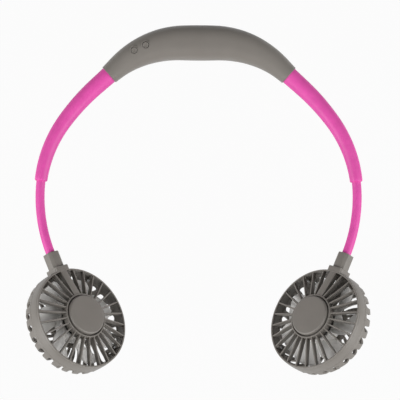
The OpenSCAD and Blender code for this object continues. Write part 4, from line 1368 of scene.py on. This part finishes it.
@dataclass
class Impeller:
    """A head's impeller, built about the head's axis: a cup over the motor and swept blades.

    Attributes:
        cup_r: Radius of the cup.
        cup_back_z: Height of the cup's back.
        cup_front_z: Height of the cup's open front.
        cup_wall: Wall of the cup.
        cup_floor: Thickness of its floor.
        cup_chamfer: Share of the wall by which the cup's back edge draws in.
        boss_r: Radius of the boss on the shaft.
        boss_len: Length of the boss.
        bore_r: Radius of the bore for the shaft.
        cup_edge: Rounding of the cup's edges.
        sides: Sides round the cup.
        blades: Number of blades.
        grid: Faces along a blade and across it.
        root_r: Radius at which a blade starts, inside the cup's wall.
        tip_r: Radius at a blade's tip.
        root_turn: Angle in degrees that a blade covers at its root.
        tip_turn: Angle in degrees that it covers at its tip.
        sweep: Angle in degrees by which its tip lags.
        root_drop: Depth of a blade at its root.
        tip_drop: Depth at its tip.
        front_z: Height of its front edge.
        camber: Share of the depth by which it bulges.
        narrow: Share of the angle that the tip's rounding takes.
        blade_t: Thickness of a blade.
        blade_edge: Rounding of its edges.
    """

    cup_r: float = 14.3 * MM
    cup_back_z: float = -8.6 * MM
    cup_front_z: float = 1.6 * MM
    cup_wall: float = 1 * MM
    cup_floor: float = 1.6 * MM
    cup_chamfer: float = 0.3
    boss_r: float = 2.8 * MM
    boss_len: float = 4 * MM
    bore_r: float = 1 * MM
    cup_edge: float = 0.2 * MM
    sides: int = 128
    blades: int = 7
    grid: tuple[int, int] = (16, 14)
    root_r: float = 13.9 * MM
    tip_r: float = 31.5 * MM
    root_turn: float = 40.0
    tip_turn: float = 47.0
    sweep: float = 16.0
    root_drop: float = 8.6 * MM
    tip_drop: float = 7.2 * MM
    front_z: float = 1.2 * MM
    camber: float = 0.12
    narrow: float = 0.35
    blade_t: float = 0.95 * MM
    blade_edge: float = 0.3 * MM

    def build(self, name: str) -> Object:
        """Builds the impeller.

        Args:
            name: Name of the new object.

        Returns:
            The impeller.
        """
        r, wall, low, floor = self.cup_r, self.cup_wall, self.cup_back_z, self.cup_back_z + self.cup_floor
        draw, boss_z = self.cup_chamfer * wall, low + self.boss_len
        cup = Bench.turn(name, [(self.bore_r, low), (r - wall, low), (r - draw, low + draw),
                                (r, low + wall), (r, self.cup_front_z), (r - wall, self.cup_front_z),
                                (r - wall, floor), (self.boss_r, floor), (self.boss_r, boss_z),
                                (self.bore_r, boss_z), (self.bore_r, low)], self.sides)
        Bench.soften(cup, self.cup_edge, 2, 50)
        blades = Bench.around(self.blade(), [360 * k / self.blades for k in range(self.blades)])
        return Bench.join(name, [cup, *blades])

    def blade(self) -> Object:
        """Builds one swept and cambered blade.

        Returns:
            The blade.
        """
        blade = Bench.start("blade", bpy.ops.mesh.primitive_grid_add, x_subdivisions=self.grid[0],
                            y_subdivisions=self.grid[1], size=1)

        def rule(v: Vector) -> Vector:
            """Bends the grid into the blade's front face.

            Args:
                v: A point of the grid.

            Returns:
                Its new place.
            """
            out, way = v.y + 0.5, v.x + 0.5
            width = (self.root_turn + (self.tip_turn - self.root_turn) * out) * (1 - self.narrow * out ** 4)
            turn = math.radians(self.sweep * out + width * (way - 0.5))
            drop = (self.root_drop + (self.tip_drop - self.root_drop) * out)
            z = self.front_z - drop * (way - self.camber * math.sin(math.pi * way))
            radius = self.root_r + (self.tip_r - self.root_r) * out
            return Vector((radius * math.cos(turn), radius * math.sin(turn), z))

        Bench.shape(blade, rule)
        Bench.thicken(blade, self.blade_t, True)
        return Bench.soften(blade, self.blade_edge, 3, 50)


@dataclass
class HeadForm:
    """The form that a head's pieces share: +Z is its front and +Y runs to its neck.

    Attributes:
        head_r: Radius of the head.
        rim_z: Height of the front rim.
        back_z: Height of the back.
        ring_front_z: Height at which the casing ring meets the grille.
        ring_back_z: Height at which the casing ring meets the rear cover.
        rim_draw: How far the side wall draws in at the rim and at the back.
        case_wall: Wall of the casing ring.
        vanes: Places for vanes, one of them the wide spoke.
        plate_z: Height of the motor plate's front.
        boss_r: Radius of a screw's boss.
        boss_at_r: Distance of the bosses from the axis.
        boss_places: Vane places of the bosses.
        shoulder: Half width, back, front and end of the neck's shoulder.
        shoulder_edge: Rounding of the shoulder and the tongue over it.
    """

    head_r: float = 36.8 * MM
    rim_z: float = 6.5 * MM
    back_z: float = -12.5 * MM
    ring_front_z: float = 5 * MM
    ring_back_z: float = -1.2 * MM
    rim_draw: float = 0.6 * MM
    case_wall: float = 1.3 * MM
    vanes: int = 26
    plate_z: float = 9.1 * MM
    boss_r: float = 1.6 * MM
    boss_at_r: float = 34.1 * MM
    boss_places: tuple[int, ...] = (3, 10, 16, 23)
    shoulder: tuple[float, float, float, float] = (5.4 * MM, -5.6 * MM, 5 * MM, 39.4 * MM)
    shoulder_edge: float = 0.35 * MM

    def wall_r(self, z: float) -> float:
        """Returns the radius of the side wall at a height."""
        share = z / (self.rim_z if z > 0 else self.back_z)
        return self.head_r - self.rim_draw * share ** 2

    def wall_points(self, low: float, high: float, inset: float = 0.0, steps: int = 8) -> list[Point]:
        """Returns points of the side wall between two heights, drawn in by an inset."""
        heights = [low + (high - low) * i / steps for i in range(steps + 1)]
        return [(self.wall_r(z) - inset, z) for z in heights]

    def band(self, name: str, low: float, high: float, wall: float, edge: float) -> Object:
        """Builds a band of the side wall with rounded edges.

        Args:
            name: Name of the new object.
            low: Its lowest height.
            high: Its highest height.
            wall: Its thickness.
            edge: Rounding of its edges.

        Returns:
            The band.
        """
        outer = self.wall_points(low, high)
        inner = self.wall_points(high, low, wall)
        piece = Bench.turn(name, outer + inner + outer[:1], 180)
        return Bench.soften(piece, edge, 3, 60)

    def at_bosses(self, piece: Object) -> list[Object]:
        """Copies a piece that stands at the first boss's distance to each boss."""
        return Bench.around(piece, [90 + 360 * k / self.vanes for k in self.boss_places])

    def notch(self) -> Object:
        """Builds the block that the neck's shoulder takes out of the side wall.

        Returns:
            The block.
        """
        half, back, front, _ = self.shoulder
        return Bench.block("neck_notch", (-half, self.head_r - 2 * self.case_wall, back),
                           (half, self.head_r + self.case_wall, front + MM))


@dataclass
class Neck:
    """A head's neck: a bevelled prism on a foot, over a wider shoulder.

    Attributes:
        form: The form that the head's pieces share.
        width: Width of the neck.
        bevel: Bevel of the neck's edges.
        foot_y: Distance from the axis at which the neck leaves its shoulder.
        end_y: Distance of the neck's end.
        bore_r: Radius of the bore for the ferrule.
        edge: Rounding of the prism's edges.
    """

    form: HeadForm
    width: float = 9.7 * MM
    bevel: float = 2 * MM
    foot_y: float = 40.9 * MM
    end_y: float = 50.8 * MM
    bore_r: float = 3.68 * MM
    edge: float = 0.3 * MM

    def build(self, name: str) -> Object:
        """Builds the neck.

        Args:
            name: Name of the new object.

        Returns:
            The neck.
        """
        form = self.form
        half, back, front, end = form.shoulder
        root = form.head_r - form.case_wall
        shoulder = Bench.block(name, (-half, root, back), (half, end, front))
        Bench.soften(shoulder, form.shoulder_edge, 3, 60)
        stem = Bench.block("neck_stem", (-self.width / 2, root, -self.width / 2),
                           (self.width / 2, self.end_y, self.width / 2))
        with Bench.editing(stem, "EDGE"):
            bpy.ops.mesh.select_all(action="DESELECT")
            mesh = bmesh.from_edit_mesh(stem.data)
            for edge in mesh.edges:
                run = edge.verts[0].co - edge.verts[1].co
                edge.select_set(abs(run.y) > self.width / 2)
            bmesh.update_edit_mesh(stem.data)
            bpy.ops.mesh.bevel(offset=self.bevel, offset_type="OFFSET", segments=1)
        bore = Bench.plug("neck_bore", self.bore_r, 0, 2 * self.width, 48)
        lie_down = Matrix.Rotation(math.radians(-90), 4, "X")
        Bench.place(bore, Matrix.Translation((0, self.foot_y, 0)) @ lie_down)
        Bench.cut(stem, bore)
        Bench.soften(stem, self.edge, 3, 34)
        return Bench.join(name, [shoulder, stem])


@dataclass
class Grille:
    """A head's front grille: rim, vanes, wide spoke, hub and the motor's plate.

    Attributes:
        form: The form that the head's pieces share.
        rim_wall: Wall of the grille's rim.
        vane_t: Thickness of a vane.
        vane_depth: Depth of a vane.
        hub_r: Radius of the grille's hub.
        hub_wall: Wall of the hub.
        hub_z: Height of the hub's front.
        hub_depth: Depth of the hub.
        spoke_w: Width of the wide spoke.
        spoke_t: Wall of the wide spoke.
        plate_t: Thickness of the motor's plate.
        motor_r: Radius of the motor.
        skirt_h: Depth of the skirt round the motor.
        skirt_gap: Gap between the motor and the skirt.
        rim_edge: Rounding of the rim and the wide spoke.
        vane_edge: Rounding of the vanes and the motor's plate.
        hub_edge: Rounding of the hub.
        tongue_in: How far the tongue reaches in from the head's side.
        tongue_drop: How far the tongue lies under the rim.
        boss_step: Bevel of the bosses under the rim.
        boss_len: Length of the bosses under the rim.
        boss_drop: How far they lie under the rim.
        slat_gap: Gap between the slats' deep part and the casing.
        vane_tongue: How far a vane's tongue reaches into the rim.
        spoke_tongue: How far the wide spoke's tongue reaches into the rim.
        slat_drop: How far the slats lie under the line from the hub to the rim.
        slat_rise: Height of the slats' tongues over the casing ring.
        channel_end: Distance from the wide spoke's channel to the casing.
    """

    form: HeadForm
    rim_wall: float = 1.1 * MM
    vane_t: float = 0.9 * MM
    vane_depth: float = 4.6 * MM
    hub_r: float = 16 * MM
    hub_wall: float = 1 * MM
    hub_z: float = 11.5 * MM
    hub_depth: float = 5 * MM
    spoke_w: float = 5.4 * MM
    spoke_t: float = 1.2 * MM
    plate_t: float = 1.2 * MM
    motor_r: float = 11 * MM
    skirt_h: float = 6 * MM
    skirt_gap: float = 0.1 * MM
    rim_edge: float = 0.3 * MM
    vane_edge: float = 0.2 * MM
    hub_edge: float = 0.25 * MM
    tongue_in: float = 1.7 * MM
    tongue_drop: float = 0.1 * MM
    boss_step: float = 0.2 * MM
    boss_len: float = 2.6 * MM
    boss_drop: float = 0.8 * MM
    slat_gap: float = 0.05 * MM
    vane_tongue: float = 0.5 * MM
    spoke_tongue: float = 0.7 * MM
    slat_drop: float = 0.3 * MM
    slat_rise: float = 0.2 * MM
    channel_end: float = 0.6 * MM

    def build(self, name: str) -> Object:
        """Builds the grille.

        Args:
            name: Name of the new object.

        Returns:
            The grille.
        """
        form = self.form
        rim = form.band(name, form.ring_front_z, form.rim_z, self.rim_wall, self.rim_edge)
        turns = [90 + 360 * k / form.vanes for k in range(1, form.vanes)]
        half, _, front, end = form.shoulder
        tongue = Bench.block("grille_tongue", (-half, form.head_r - self.tongue_in, front),
                             (half, end, form.rim_z - self.tongue_drop))
        Bench.soften(tongue, form.shoulder_edge, 3, 60)
        boss = Bench.turn("grille_boss", [(0, 0), (form.boss_r - self.boss_step, 0),
                                          (form.boss_r, -self.boss_step),
                                          (form.boss_r, -self.boss_len), (0, -self.boss_len)], 32)
        Bench.place(boss, Matrix.Translation((form.boss_at_r, 0, form.rim_z - self.boss_drop)))
        parts = [rim, *Bench.around(self.vane(), turns), self.spoke(), *self.hub(), tongue,
                 *form.at_bosses(boss)]
        return Bench.join(name, parts)

    def slat(self, name: str, half_w: float, wall_end: float, rim_end: float, depth_in: float,
             depth_out: float, drop: float) -> Object:
        """Builds a slat along +X that rises from the rim to the hub.

        Args:
            name: Name of the new object.
            half_w: Half its width.
            wall_end: Where its deep part ends, just inside the casing.
            rim_end: Where its tongue ends, inside the rim.
            depth_in: Its depth at the hub.
            depth_out: Its depth at the casing.
            drop: How far its front lies under the line from hub to rim.

        Returns:
            The slat.
        """
        start = self.hub_r - self.hub_wall / 2
        piece = Bench.block(name, (start, -half_w, 0), (wall_end, half_w, MM))
        with Bench.editing(piece):
            Bench.pick(piece, lambda place, normal: normal.x > 0.9)
            bpy.ops.mesh.extrude_region_move(
                TRANSFORM_OT_translate={"value": (rim_end - wall_end, 0, 0)})
        slope = (self.form.rim_z - self.hub_z) / (rim_end - start)
        low = {start: self.hub_z - depth_in, wall_end: self.form.rim_z - depth_out,
               rim_end: self.form.ring_front_z + self.slat_rise}

        def rule(v: Vector) -> Vector:
            """Puts a point on the slat's front or back.

            Args:
                v: The point.

            Returns:
                Its new place.
            """
            near = min(low, key=lambda x: abs(x - v.x))
            front = self.hub_z - drop + slope * (near - start)
            return Vector((near, v.y, front if v.z > MM / 2 else low[near]))

        return Bench.shape(piece, rule)

    def vane(self) -> Object:
        """Builds one thin vane, thinner at its front edge.

        Returns:
            The vane.
        """
        inside = self.form.wall_r(self.form.ring_front_z) - self.form.case_wall
        slat = self.slat("vane", self.vane_t / 2, inside - self.slat_gap, inside + self.vane_tongue,
                         self.vane_depth, self.vane_depth - MM, self.slat_drop)
        return Bench.soften(slat, self.vane_edge, 3, 40)

    def spoke(self) -> Object:
        """Builds the wide spoke, an open channel over the motor's leads.

        Returns:
            The spoke.
        """
        inside = self.form.wall_r(self.form.ring_front_z) - self.form.case_wall
        outer = self.slat("wide_spoke", self.spoke_w / 2, inside - self.slat_gap,
                          inside + self.spoke_tongue, self.vane_depth, self.vane_depth, self.slat_drop)
        Bench.soften(outer, self.rim_edge, 3, 40)
        start = self.hub_r - 2 * self.hub_wall
        channel = Bench.block("channel", (start, self.spoke_t - self.spoke_w / 2, -MM),
                              (inside - self.channel_end, self.spoke_w / 2 - self.spoke_t, MM))
        slope = (self.form.rim_z - self.hub_z) / (self.form.head_r - start)

        def rule(v: Vector) -> Vector:
            """Slopes the channel's floor along the spoke's front.

            Args:
                v: A point of the channel.

            Returns:
                Its new place.
            """
            floor = self.hub_z - self.spoke_t - self.slat_drop + slope * (v.x - start)
            return Vector((v.x, v.y, floor if v.z > 0 else -self.hub_z))

        Bench.cut(outer, Bench.shape(channel, rule))
        return Bench.place(outer, Matrix.Rotation(math.radians(90), 4, "Z"))

    def hub(self) -> list[Object]:
        """Builds the hub's ring, the motor's plate and the skirt round the motor.

        Returns:
            The pieces.
        """
        inner = self.hub_r - self.hub_wall
        ring = Bench.turn("hub_ring", [(self.hub_r, self.hub_z), (inner, self.hub_z),
                                       (inner, self.hub_z - self.hub_depth),
                                       (self.hub_r, self.hub_z - self.hub_depth),
                                       (self.hub_r, self.hub_z)], 144)
        Bench.soften(ring, self.hub_edge, 3, 60)
        top, low = self.form.plate_z, self.form.plate_z - self.plate_t
        reach, skirt_in = self.hub_r - self.hub_wall / 2, self.motor_r + self.skirt_gap
        plate = Bench.turn("motor_plate", [(0, top), (reach, top), (reach, low),
                                           (skirt_in + MM, low), (skirt_in + MM, low - self.skirt_h),
                                           (skirt_in, low - self.skirt_h), (skirt_in, low), (0, low)],
                           96)
        return [ring, Bench.soften(plate, self.vane_edge, 2, 60)]


@dataclass
class HubCap:
    """The cap of the grille's hub, with a rounded edge and a faint crown.

    Attributes:
        form: The form that the head's pieces share.
        radius: Radius of the hub's cap.
        front_z: Height of the cap's front.
        edge: Rounding of the cap's edge.
        crown: Heights that the cap loses halfway out and at its edge.
        wall: Wall of the cap at its side.
        depths: Depth of the cap's inside at its side and in its middle.
    """

    form: HeadForm
    radius: float = 14.1 * MM
    front_z: float = 13.5 * MM
    edge: float = 1.2 * MM
    crown: Point = (0.03 * MM, 0.08 * MM)
    wall: float = 1.3 * MM
    depths: Point = (1.85 * MM, 1.3 * MM)

    def build(self, name: str) -> Object:
        """Builds the cap.

        Args:
            name: Name of the new object.

        Returns:
            The cap.
        """
        r, top, low, edge = self.radius, self.front_z, self.form.plate_z, self.edge
        half_drop, edge_drop = self.crown
        side_depth, depth = self.depths
        inner = r - self.wall
        crown = [(0, top), (r * 0.5, top - half_drop)]
        round_off = [(r - edge + edge * math.sin(t), top - edge_drop - edge + edge * math.cos(t))
                     for t in (math.radians(90 * i / 10) for i in range(11))]
        inside = [(r, low), (inner, low), (inner, top - side_depth), (0, top - depth)]
        return Bench.turn(name, crown + round_off + inside, 144)


@dataclass
class RearCover:
    """A head's rear cover: a round-cornered dish with slots between ribs.

    Attributes:
        form: The form that the head's pieces share.
        back_wall: Wall of the rear cover.
        corner_r: Radius of the back corner.
        disc_r: Radius of the rear cover's solid middle.
        slot_top_z: Height at which the slots end on the side wall.
        slot_round: How far a slot's end is rounded.
        slot_swirl: Angle in degrees that a slot turns through, from the middle to the wall.
        slot_lag: Angle in degrees that a slot lags by at the bosses.
        slots: Number of places for slots. The two beside the neck stay closed.
        faces_per_slot: Faces round the rear cover for each slot and rib.
        recess: Radius and depth of the recess over a screw's head.
        back_edge: Rounding of the rear cover and its slots.
    """

    form: HeadForm
    back_wall: float = 1.5 * MM
    corner_r: float = 6 * MM
    disc_r: float = 16 * MM
    slot_top_z: float = -3.5 * MM
    slot_round: float = 1.2 * MM
    slot_swirl: float = 28.0
    slot_lag: float = 3.0
    slots: int = 26
    faces_per_slot: int = 8
    recess: Point = (1.45 * MM, 2.8 * MM)
    back_edge: float = 0.22 * MM

    def build(self, name: str) -> Object:
        """Builds the cover.

        Args:
            name: Name of the new object.

        Returns:
            The cover.
        """
        form = self.form
        dish = Bench.turn(name, self.outline(), self.slots * self.faces_per_slot)

        def in_slot(place: Vector, normal: Vector) -> bool:
            """Tells whether a face lies in a slot."""
            return (self.slot_share(place) < 1 and place.z < self.slot_top_z
                    and math.hypot(place.x, place.y) > self.disc_r)

        def round_end(v: Vector) -> Vector:
            """Draws the corners of a slot's end down into an arc.

            Args:
                v: A point of the dish.

            Returns:
                Its new place.
            """
            share = self.slot_share(v)
            if abs(v.z - self.slot_top_z) > MM / 100 or share > 1.01:
                return v
            z = v.z - self.slot_round * (1 - math.sqrt(max(1 - share ** 2, 0)))
            grow = form.wall_r(z) / form.wall_r(v.z)
            return Vector((v.x * grow, v.y * grow, z))

        def swirl(v: Vector) -> Vector:
            """Turns a point about the axis by its distance from it.

            Args:
                v: A point of the dish.

            Returns:
                Its new place.
            """
            out = max(math.hypot(v.x, v.y), self.disc_r)
            turn = self.slot_swirl * (form.boss_at_r - out) / (form.head_r - self.disc_r)
            return Matrix.Rotation(math.radians(turn - self.slot_lag), 3, "Z") @ v

        with Bench.editing(dish):
            Bench.pick(dish, in_slot)
            bpy.ops.mesh.delete(type="FACE")
        Bench.shape(Bench.shape(dish, round_end), swirl)
        Bench.thicken(dish, self.back_wall, False)
        Bench.soften(dish, self.back_edge, 2, 60)
        Bench.cut(dish, form.notch(), self.recesses())
        boss = Bench.plug("rear_boss", form.boss_r, form.ring_back_z, form.back_z, 32)
        Bench.place(boss, Matrix.Translation((form.boss_at_r, 0, 0)))
        bosses = Bench.join("rear_bosses", form.at_bosses(boss))
        whole = Bench.turn("rear_form", self.outline() + [(0, form.ring_back_z)], 96)
        Bench.modify(bosses, "BOOLEAN", operation="INTERSECT", object=whole, solver="EXACT")
        bpy.data.objects.remove(whole)
        return Bench.join(name, [dish, Bench.cut(bosses, self.recesses())])

    def outline(self) -> list[Point]:
        """Works out the outer outline of the rear cover.

        Returns:
            Radius and height of each point, from the middle out to the edge.
        """
        form, back_z = self.form, self.form.back_z
        flat_r, low_z = form.wall_r(back_z) - self.corner_r, back_z + self.corner_r
        reach = form.wall_r(low_z) - flat_r
        middle = [(self.disc_r + (flat_r - self.disc_r) * k / 4, back_z) for k in range(4)]
        corner = [(flat_r + reach * math.sin(t), low_z - self.corner_r * math.cos(t))
                  for t in (math.radians(9 * k) for k in range(10))]
        side = (form.wall_points(low_z, self.slot_top_z, steps=2)[1:]
                + form.wall_points(self.slot_top_z, form.ring_back_z, steps=1)[1:])
        return [(0, back_z), (self.disc_r / 2, back_z)] + middle + corner + side

    def slot_share(self, place: Vector) -> float:
        """Tells how far across a slot a place lies.

        Args:
            place: The place.

        Returns:
            Its distance from the slot's middle line, 1 at the slot's edges. It is over 1 on a rib and
            beside the neck.
        """
        turn = (math.atan2(place.y, place.x) / math.tau - 0.25) * self.slots % self.slots
        return 4 * abs(turn % 1 - 0.5) if 1 < turn < self.slots - 1 else 2.0

    def recesses(self) -> Object:
        """Builds the recesses over the heads of the case's screws, as one cutter.

        Returns:
            The cutter.
        """
        (r, depth), back_z = self.recess, self.form.back_z
        pit = Bench.plug("recess", r, back_z - MM, back_z + depth, 24)
        Bench.place(pit, Matrix.Translation((self.form.boss_at_r, 0, 0)))
        return Bench.join("recesses", self.form.at_bosses(pit))


@dataclass
class FanHead:
    """A fan head, built about its own axis and put in its place.

    Attributes:
        side: Side of the arm that carries the head.
        form: The form that the head's pieces share.
        ring_edge: Rounding of the casing ring's edges.
    """

    side: Side
    form: HeadForm
    ring_edge: float = 0.18 * MM

    def place(self) -> Matrix:
        """Works out the head's place from its swivel and its impeller's joint.

        Returns:
            The matrix from the head's own axes to the frame.
        """
        joints = {joint["name"]: joint for joint in frame["joints"]}
        spin = joints[f"{self.side.value}_impeller_spin"]
        swivel = joints[f"{self.side.value}_head_swivel"]
        middle, front = Vector(spin["pos_m"]), Vector(spin["axis"]).normalized()
        up = Vector(swivel["pos_m"]) - middle
        up = (up - front * up.dot(front)).normalized()
        turn = Matrix((up.cross(front), up, front)).transposed().to_4x4()
        return Matrix.Translation(middle) @ turn

    def build(self) -> None:
        """Builds the head's pieces and hands them over."""
        name, form, here = self.side.value, self.form, self.place()
        for piece, node in ((self.casing(), "casing_ring"),
                            (Grille(form).build(f"{name}_grille"), "front_grille"),
                            (HubCap(form).build(f"{name}_cap"), "hub_cap"),
                            (RearCover(form).build(f"{name}_back"), "rear_cover"),
                            (Neck(form).build(f"{name}_neck"), "fan_neck")):
            Bench.smooth(Bench.place(piece, here))
            Piece.hand_over(piece, BODY_GRAY, "gray_plastic", f"{name}_fan", [f"{name}_{node}"])
        rotor = Bench.smooth(Bench.place(Impeller().build(f"{name}_rotor"), here))
        Piece.hand_over(rotor, BLADE_GRAY, "pale_blade", f"{name}_impeller", [f"{name}_impeller"])

    def casing(self) -> Object:
        """Builds the casing's ring, notched for the neck's shoulder.

        Returns:
            The ring.
        """
        form = self.form
        ring = form.band(f"{self.side.value}_case_ring", form.ring_back_z, form.ring_front_z,
                         form.case_wall, self.ring_edge)
        return Bench.cut(ring, form.notch())


class Works:
    """The CAD nodes that stay in view or inside, each in its own finish."""

    FINISHES: dict[str, Finish] = {
        "battery_cell": CELL_WRAP, "battery_cradle": PALE_NYLON, "circuit_board": BOARD_GREEN,
        "tact_switches": BLACK_NYLON, "charging_inlet": BRIGHT_STEEL, "housing_screws": BRIGHT_STEEL,
        "battery_leads": RED_LEAD,
    }
    SIDE_FINISHES: dict[str, Finish] = {
        "arm_anchor": BLACK_NYLON, "swivel_ferrule": BRIGHT_STEEL, "motor": MOTOR_CAN,
        "motor_shaft": BRIGHT_STEEL, "motor_leads": BLACK_LEAD, "case_screws": BRIGHT_STEEL,
        "motor_screws": BRIGHT_STEEL,
    }

    def dress(self) -> None:
        """Gives each of these nodes its finish."""
        for node, finish in self.FINISHES.items():
            Piece.keep(node, finish)
        for side in Side:
            for node, finish in self.SIDE_FINISHES.items():
                Piece.keep(f"{side.value}_{node}", finish)


@dataclass
class Studio:
    """The camera straight above the fan, the white table and plain soft light.

    Attributes:
        eye: Place of the camera.
        roll: Turn of the camera about its view, in degrees.
        half_field: Half of what the camera sees across at the table.
        world: Strength of the light from all round.
        lamps: Place, width and power of each lamp.
        see_white: Share of plain white in what the camera sees of the table.
        table_white: Whiteness of the table where it lights the fan.
        table_z: Height of the table, just below the lowest reach of the heads.
    """

    eye: tuple[float, float, float] = (0.0010, -0.1104, 1.6)
    roll: float = 0.2
    half_field: float = 141.6 * MM
    world: float = 0.2
    lamps: tuple[tuple[tuple[float, float, float], float, float], ...] = (
        ((-1.25, -0.6, 0.75), 1.3, 22.0),
        ((1.25, -0.55, 0.75), 1.3, 21.0),
    )
    see_white: float = 0.955
    table_white: float = 0.35
    table_z: float = -52 * MM

    def build(self) -> None:
        """Builds the studio."""
        self.camera()
        self.table()
        self.light()

    def camera(self) -> None:
        """Adds the camera."""
        lens = bpy.data.cameras.new("camera")
        lens.sensor_fit = "HORIZONTAL"
        lens.angle = 2 * math.atan(self.half_field / self.eye[2])
        lens.clip_start = 0.01
        camera = bpy.data.objects.new("camera", lens)
        camera.location = self.eye
        camera.rotation_euler = (0, 0, math.radians(self.roll))
        bpy.context.scene.collection.objects.link(camera)
        bpy.context.scene.camera = camera

    def table(self) -> None:
        """Adds the table, which the camera and reflections see nearly as plain white."""
        table = Bench.start("table", bpy.ops.mesh.primitive_plane_add, size=6,
                            location=(0, 0, self.table_z))
        bpy.ops.object.transform_apply(location=True, rotation=True, scale=True)
        material = bpy.data.materials.new("white_table")
        material.use_nodes = True
        tree = material.node_tree
        tree.nodes.clear()
        add, link = tree.nodes.new, tree.links.new
        paths, either, both = add("ShaderNodeLightPath"), add("ShaderNodeMath"), add("ShaderNodeMath")
        share = add("ShaderNodeMath")
        cover, glow = add("ShaderNodeBsdfDiffuse"), add("ShaderNodeEmission")
        mix = add("ShaderNodeMixShader")
        sink = add("ShaderNodeOutputMaterial")
        either.operation = both.operation = "MAXIMUM"
        share.operation = "MULTIPLY"
        share.inputs[1].default_value = self.see_white
        cover.inputs["Color"].default_value = (self.table_white,) * 3 + (1,)
        glow.inputs["Color"].default_value = (1, 1, 1, 1)
        glow.inputs["Strength"].default_value = 1.0
        link(paths.outputs["Is Camera Ray"], either.inputs[0])
        link(paths.outputs["Is Glossy Ray"], either.inputs[1])
        link(either.outputs[0], both.inputs[0])
        link(paths.outputs["Is Transmission Ray"], both.inputs[1])
        link(both.outputs[0], share.inputs[0])
        link(share.outputs[0], mix.inputs[0])
        link(cover.outputs[0], mix.inputs[1])
        link(glow.outputs[0], mix.inputs[2])
        link(mix.outputs[0], sink.inputs["Surface"])
        table.data.materials.append(material)

    def light(self) -> None:
        """Adds the light from all round and the lamps."""
        scene = bpy.context.scene
        world = bpy.data.worlds.new("studio")
        world.use_nodes = True
        shade = world.node_tree.nodes["Background"]
        shade.inputs["Color"].default_value = (1, 1, 1, 1)
        shade.inputs["Strength"].default_value = self.world
        scene.world = world
        for index, (spot, width, power) in enumerate(self.lamps):
            data = bpy.data.lights.new(f"lamp_{index}", "AREA")
            data.size, data.energy = width, power
            lamp = bpy.data.objects.new(f"lamp_{index}", data)
            lamp.location = spot
            toward = Vector((0, self.eye[1], 0)) - Vector(spot)
            lamp.rotation_euler = toward.to_track_quat("-Z", "Y").to_euler()
            scene.collection.objects.link(lamp)
        scene.view_settings.view_transform = "Standard"


def main() -> None:
    """Builds the fan's pieces in order, dresses them and sets up the studio."""
    logging.basicConfig(level=logging.INFO, format="%(name)s %(message)s")
    arch, form = Arch(), HeadForm()
    Studio().build()
    Housing(arch).build()
    for side in Side:
        Arm(side, arch).build()
        FanHead(side, form).build()
    Works().dress()


if __name__ == "__main__":
    main()
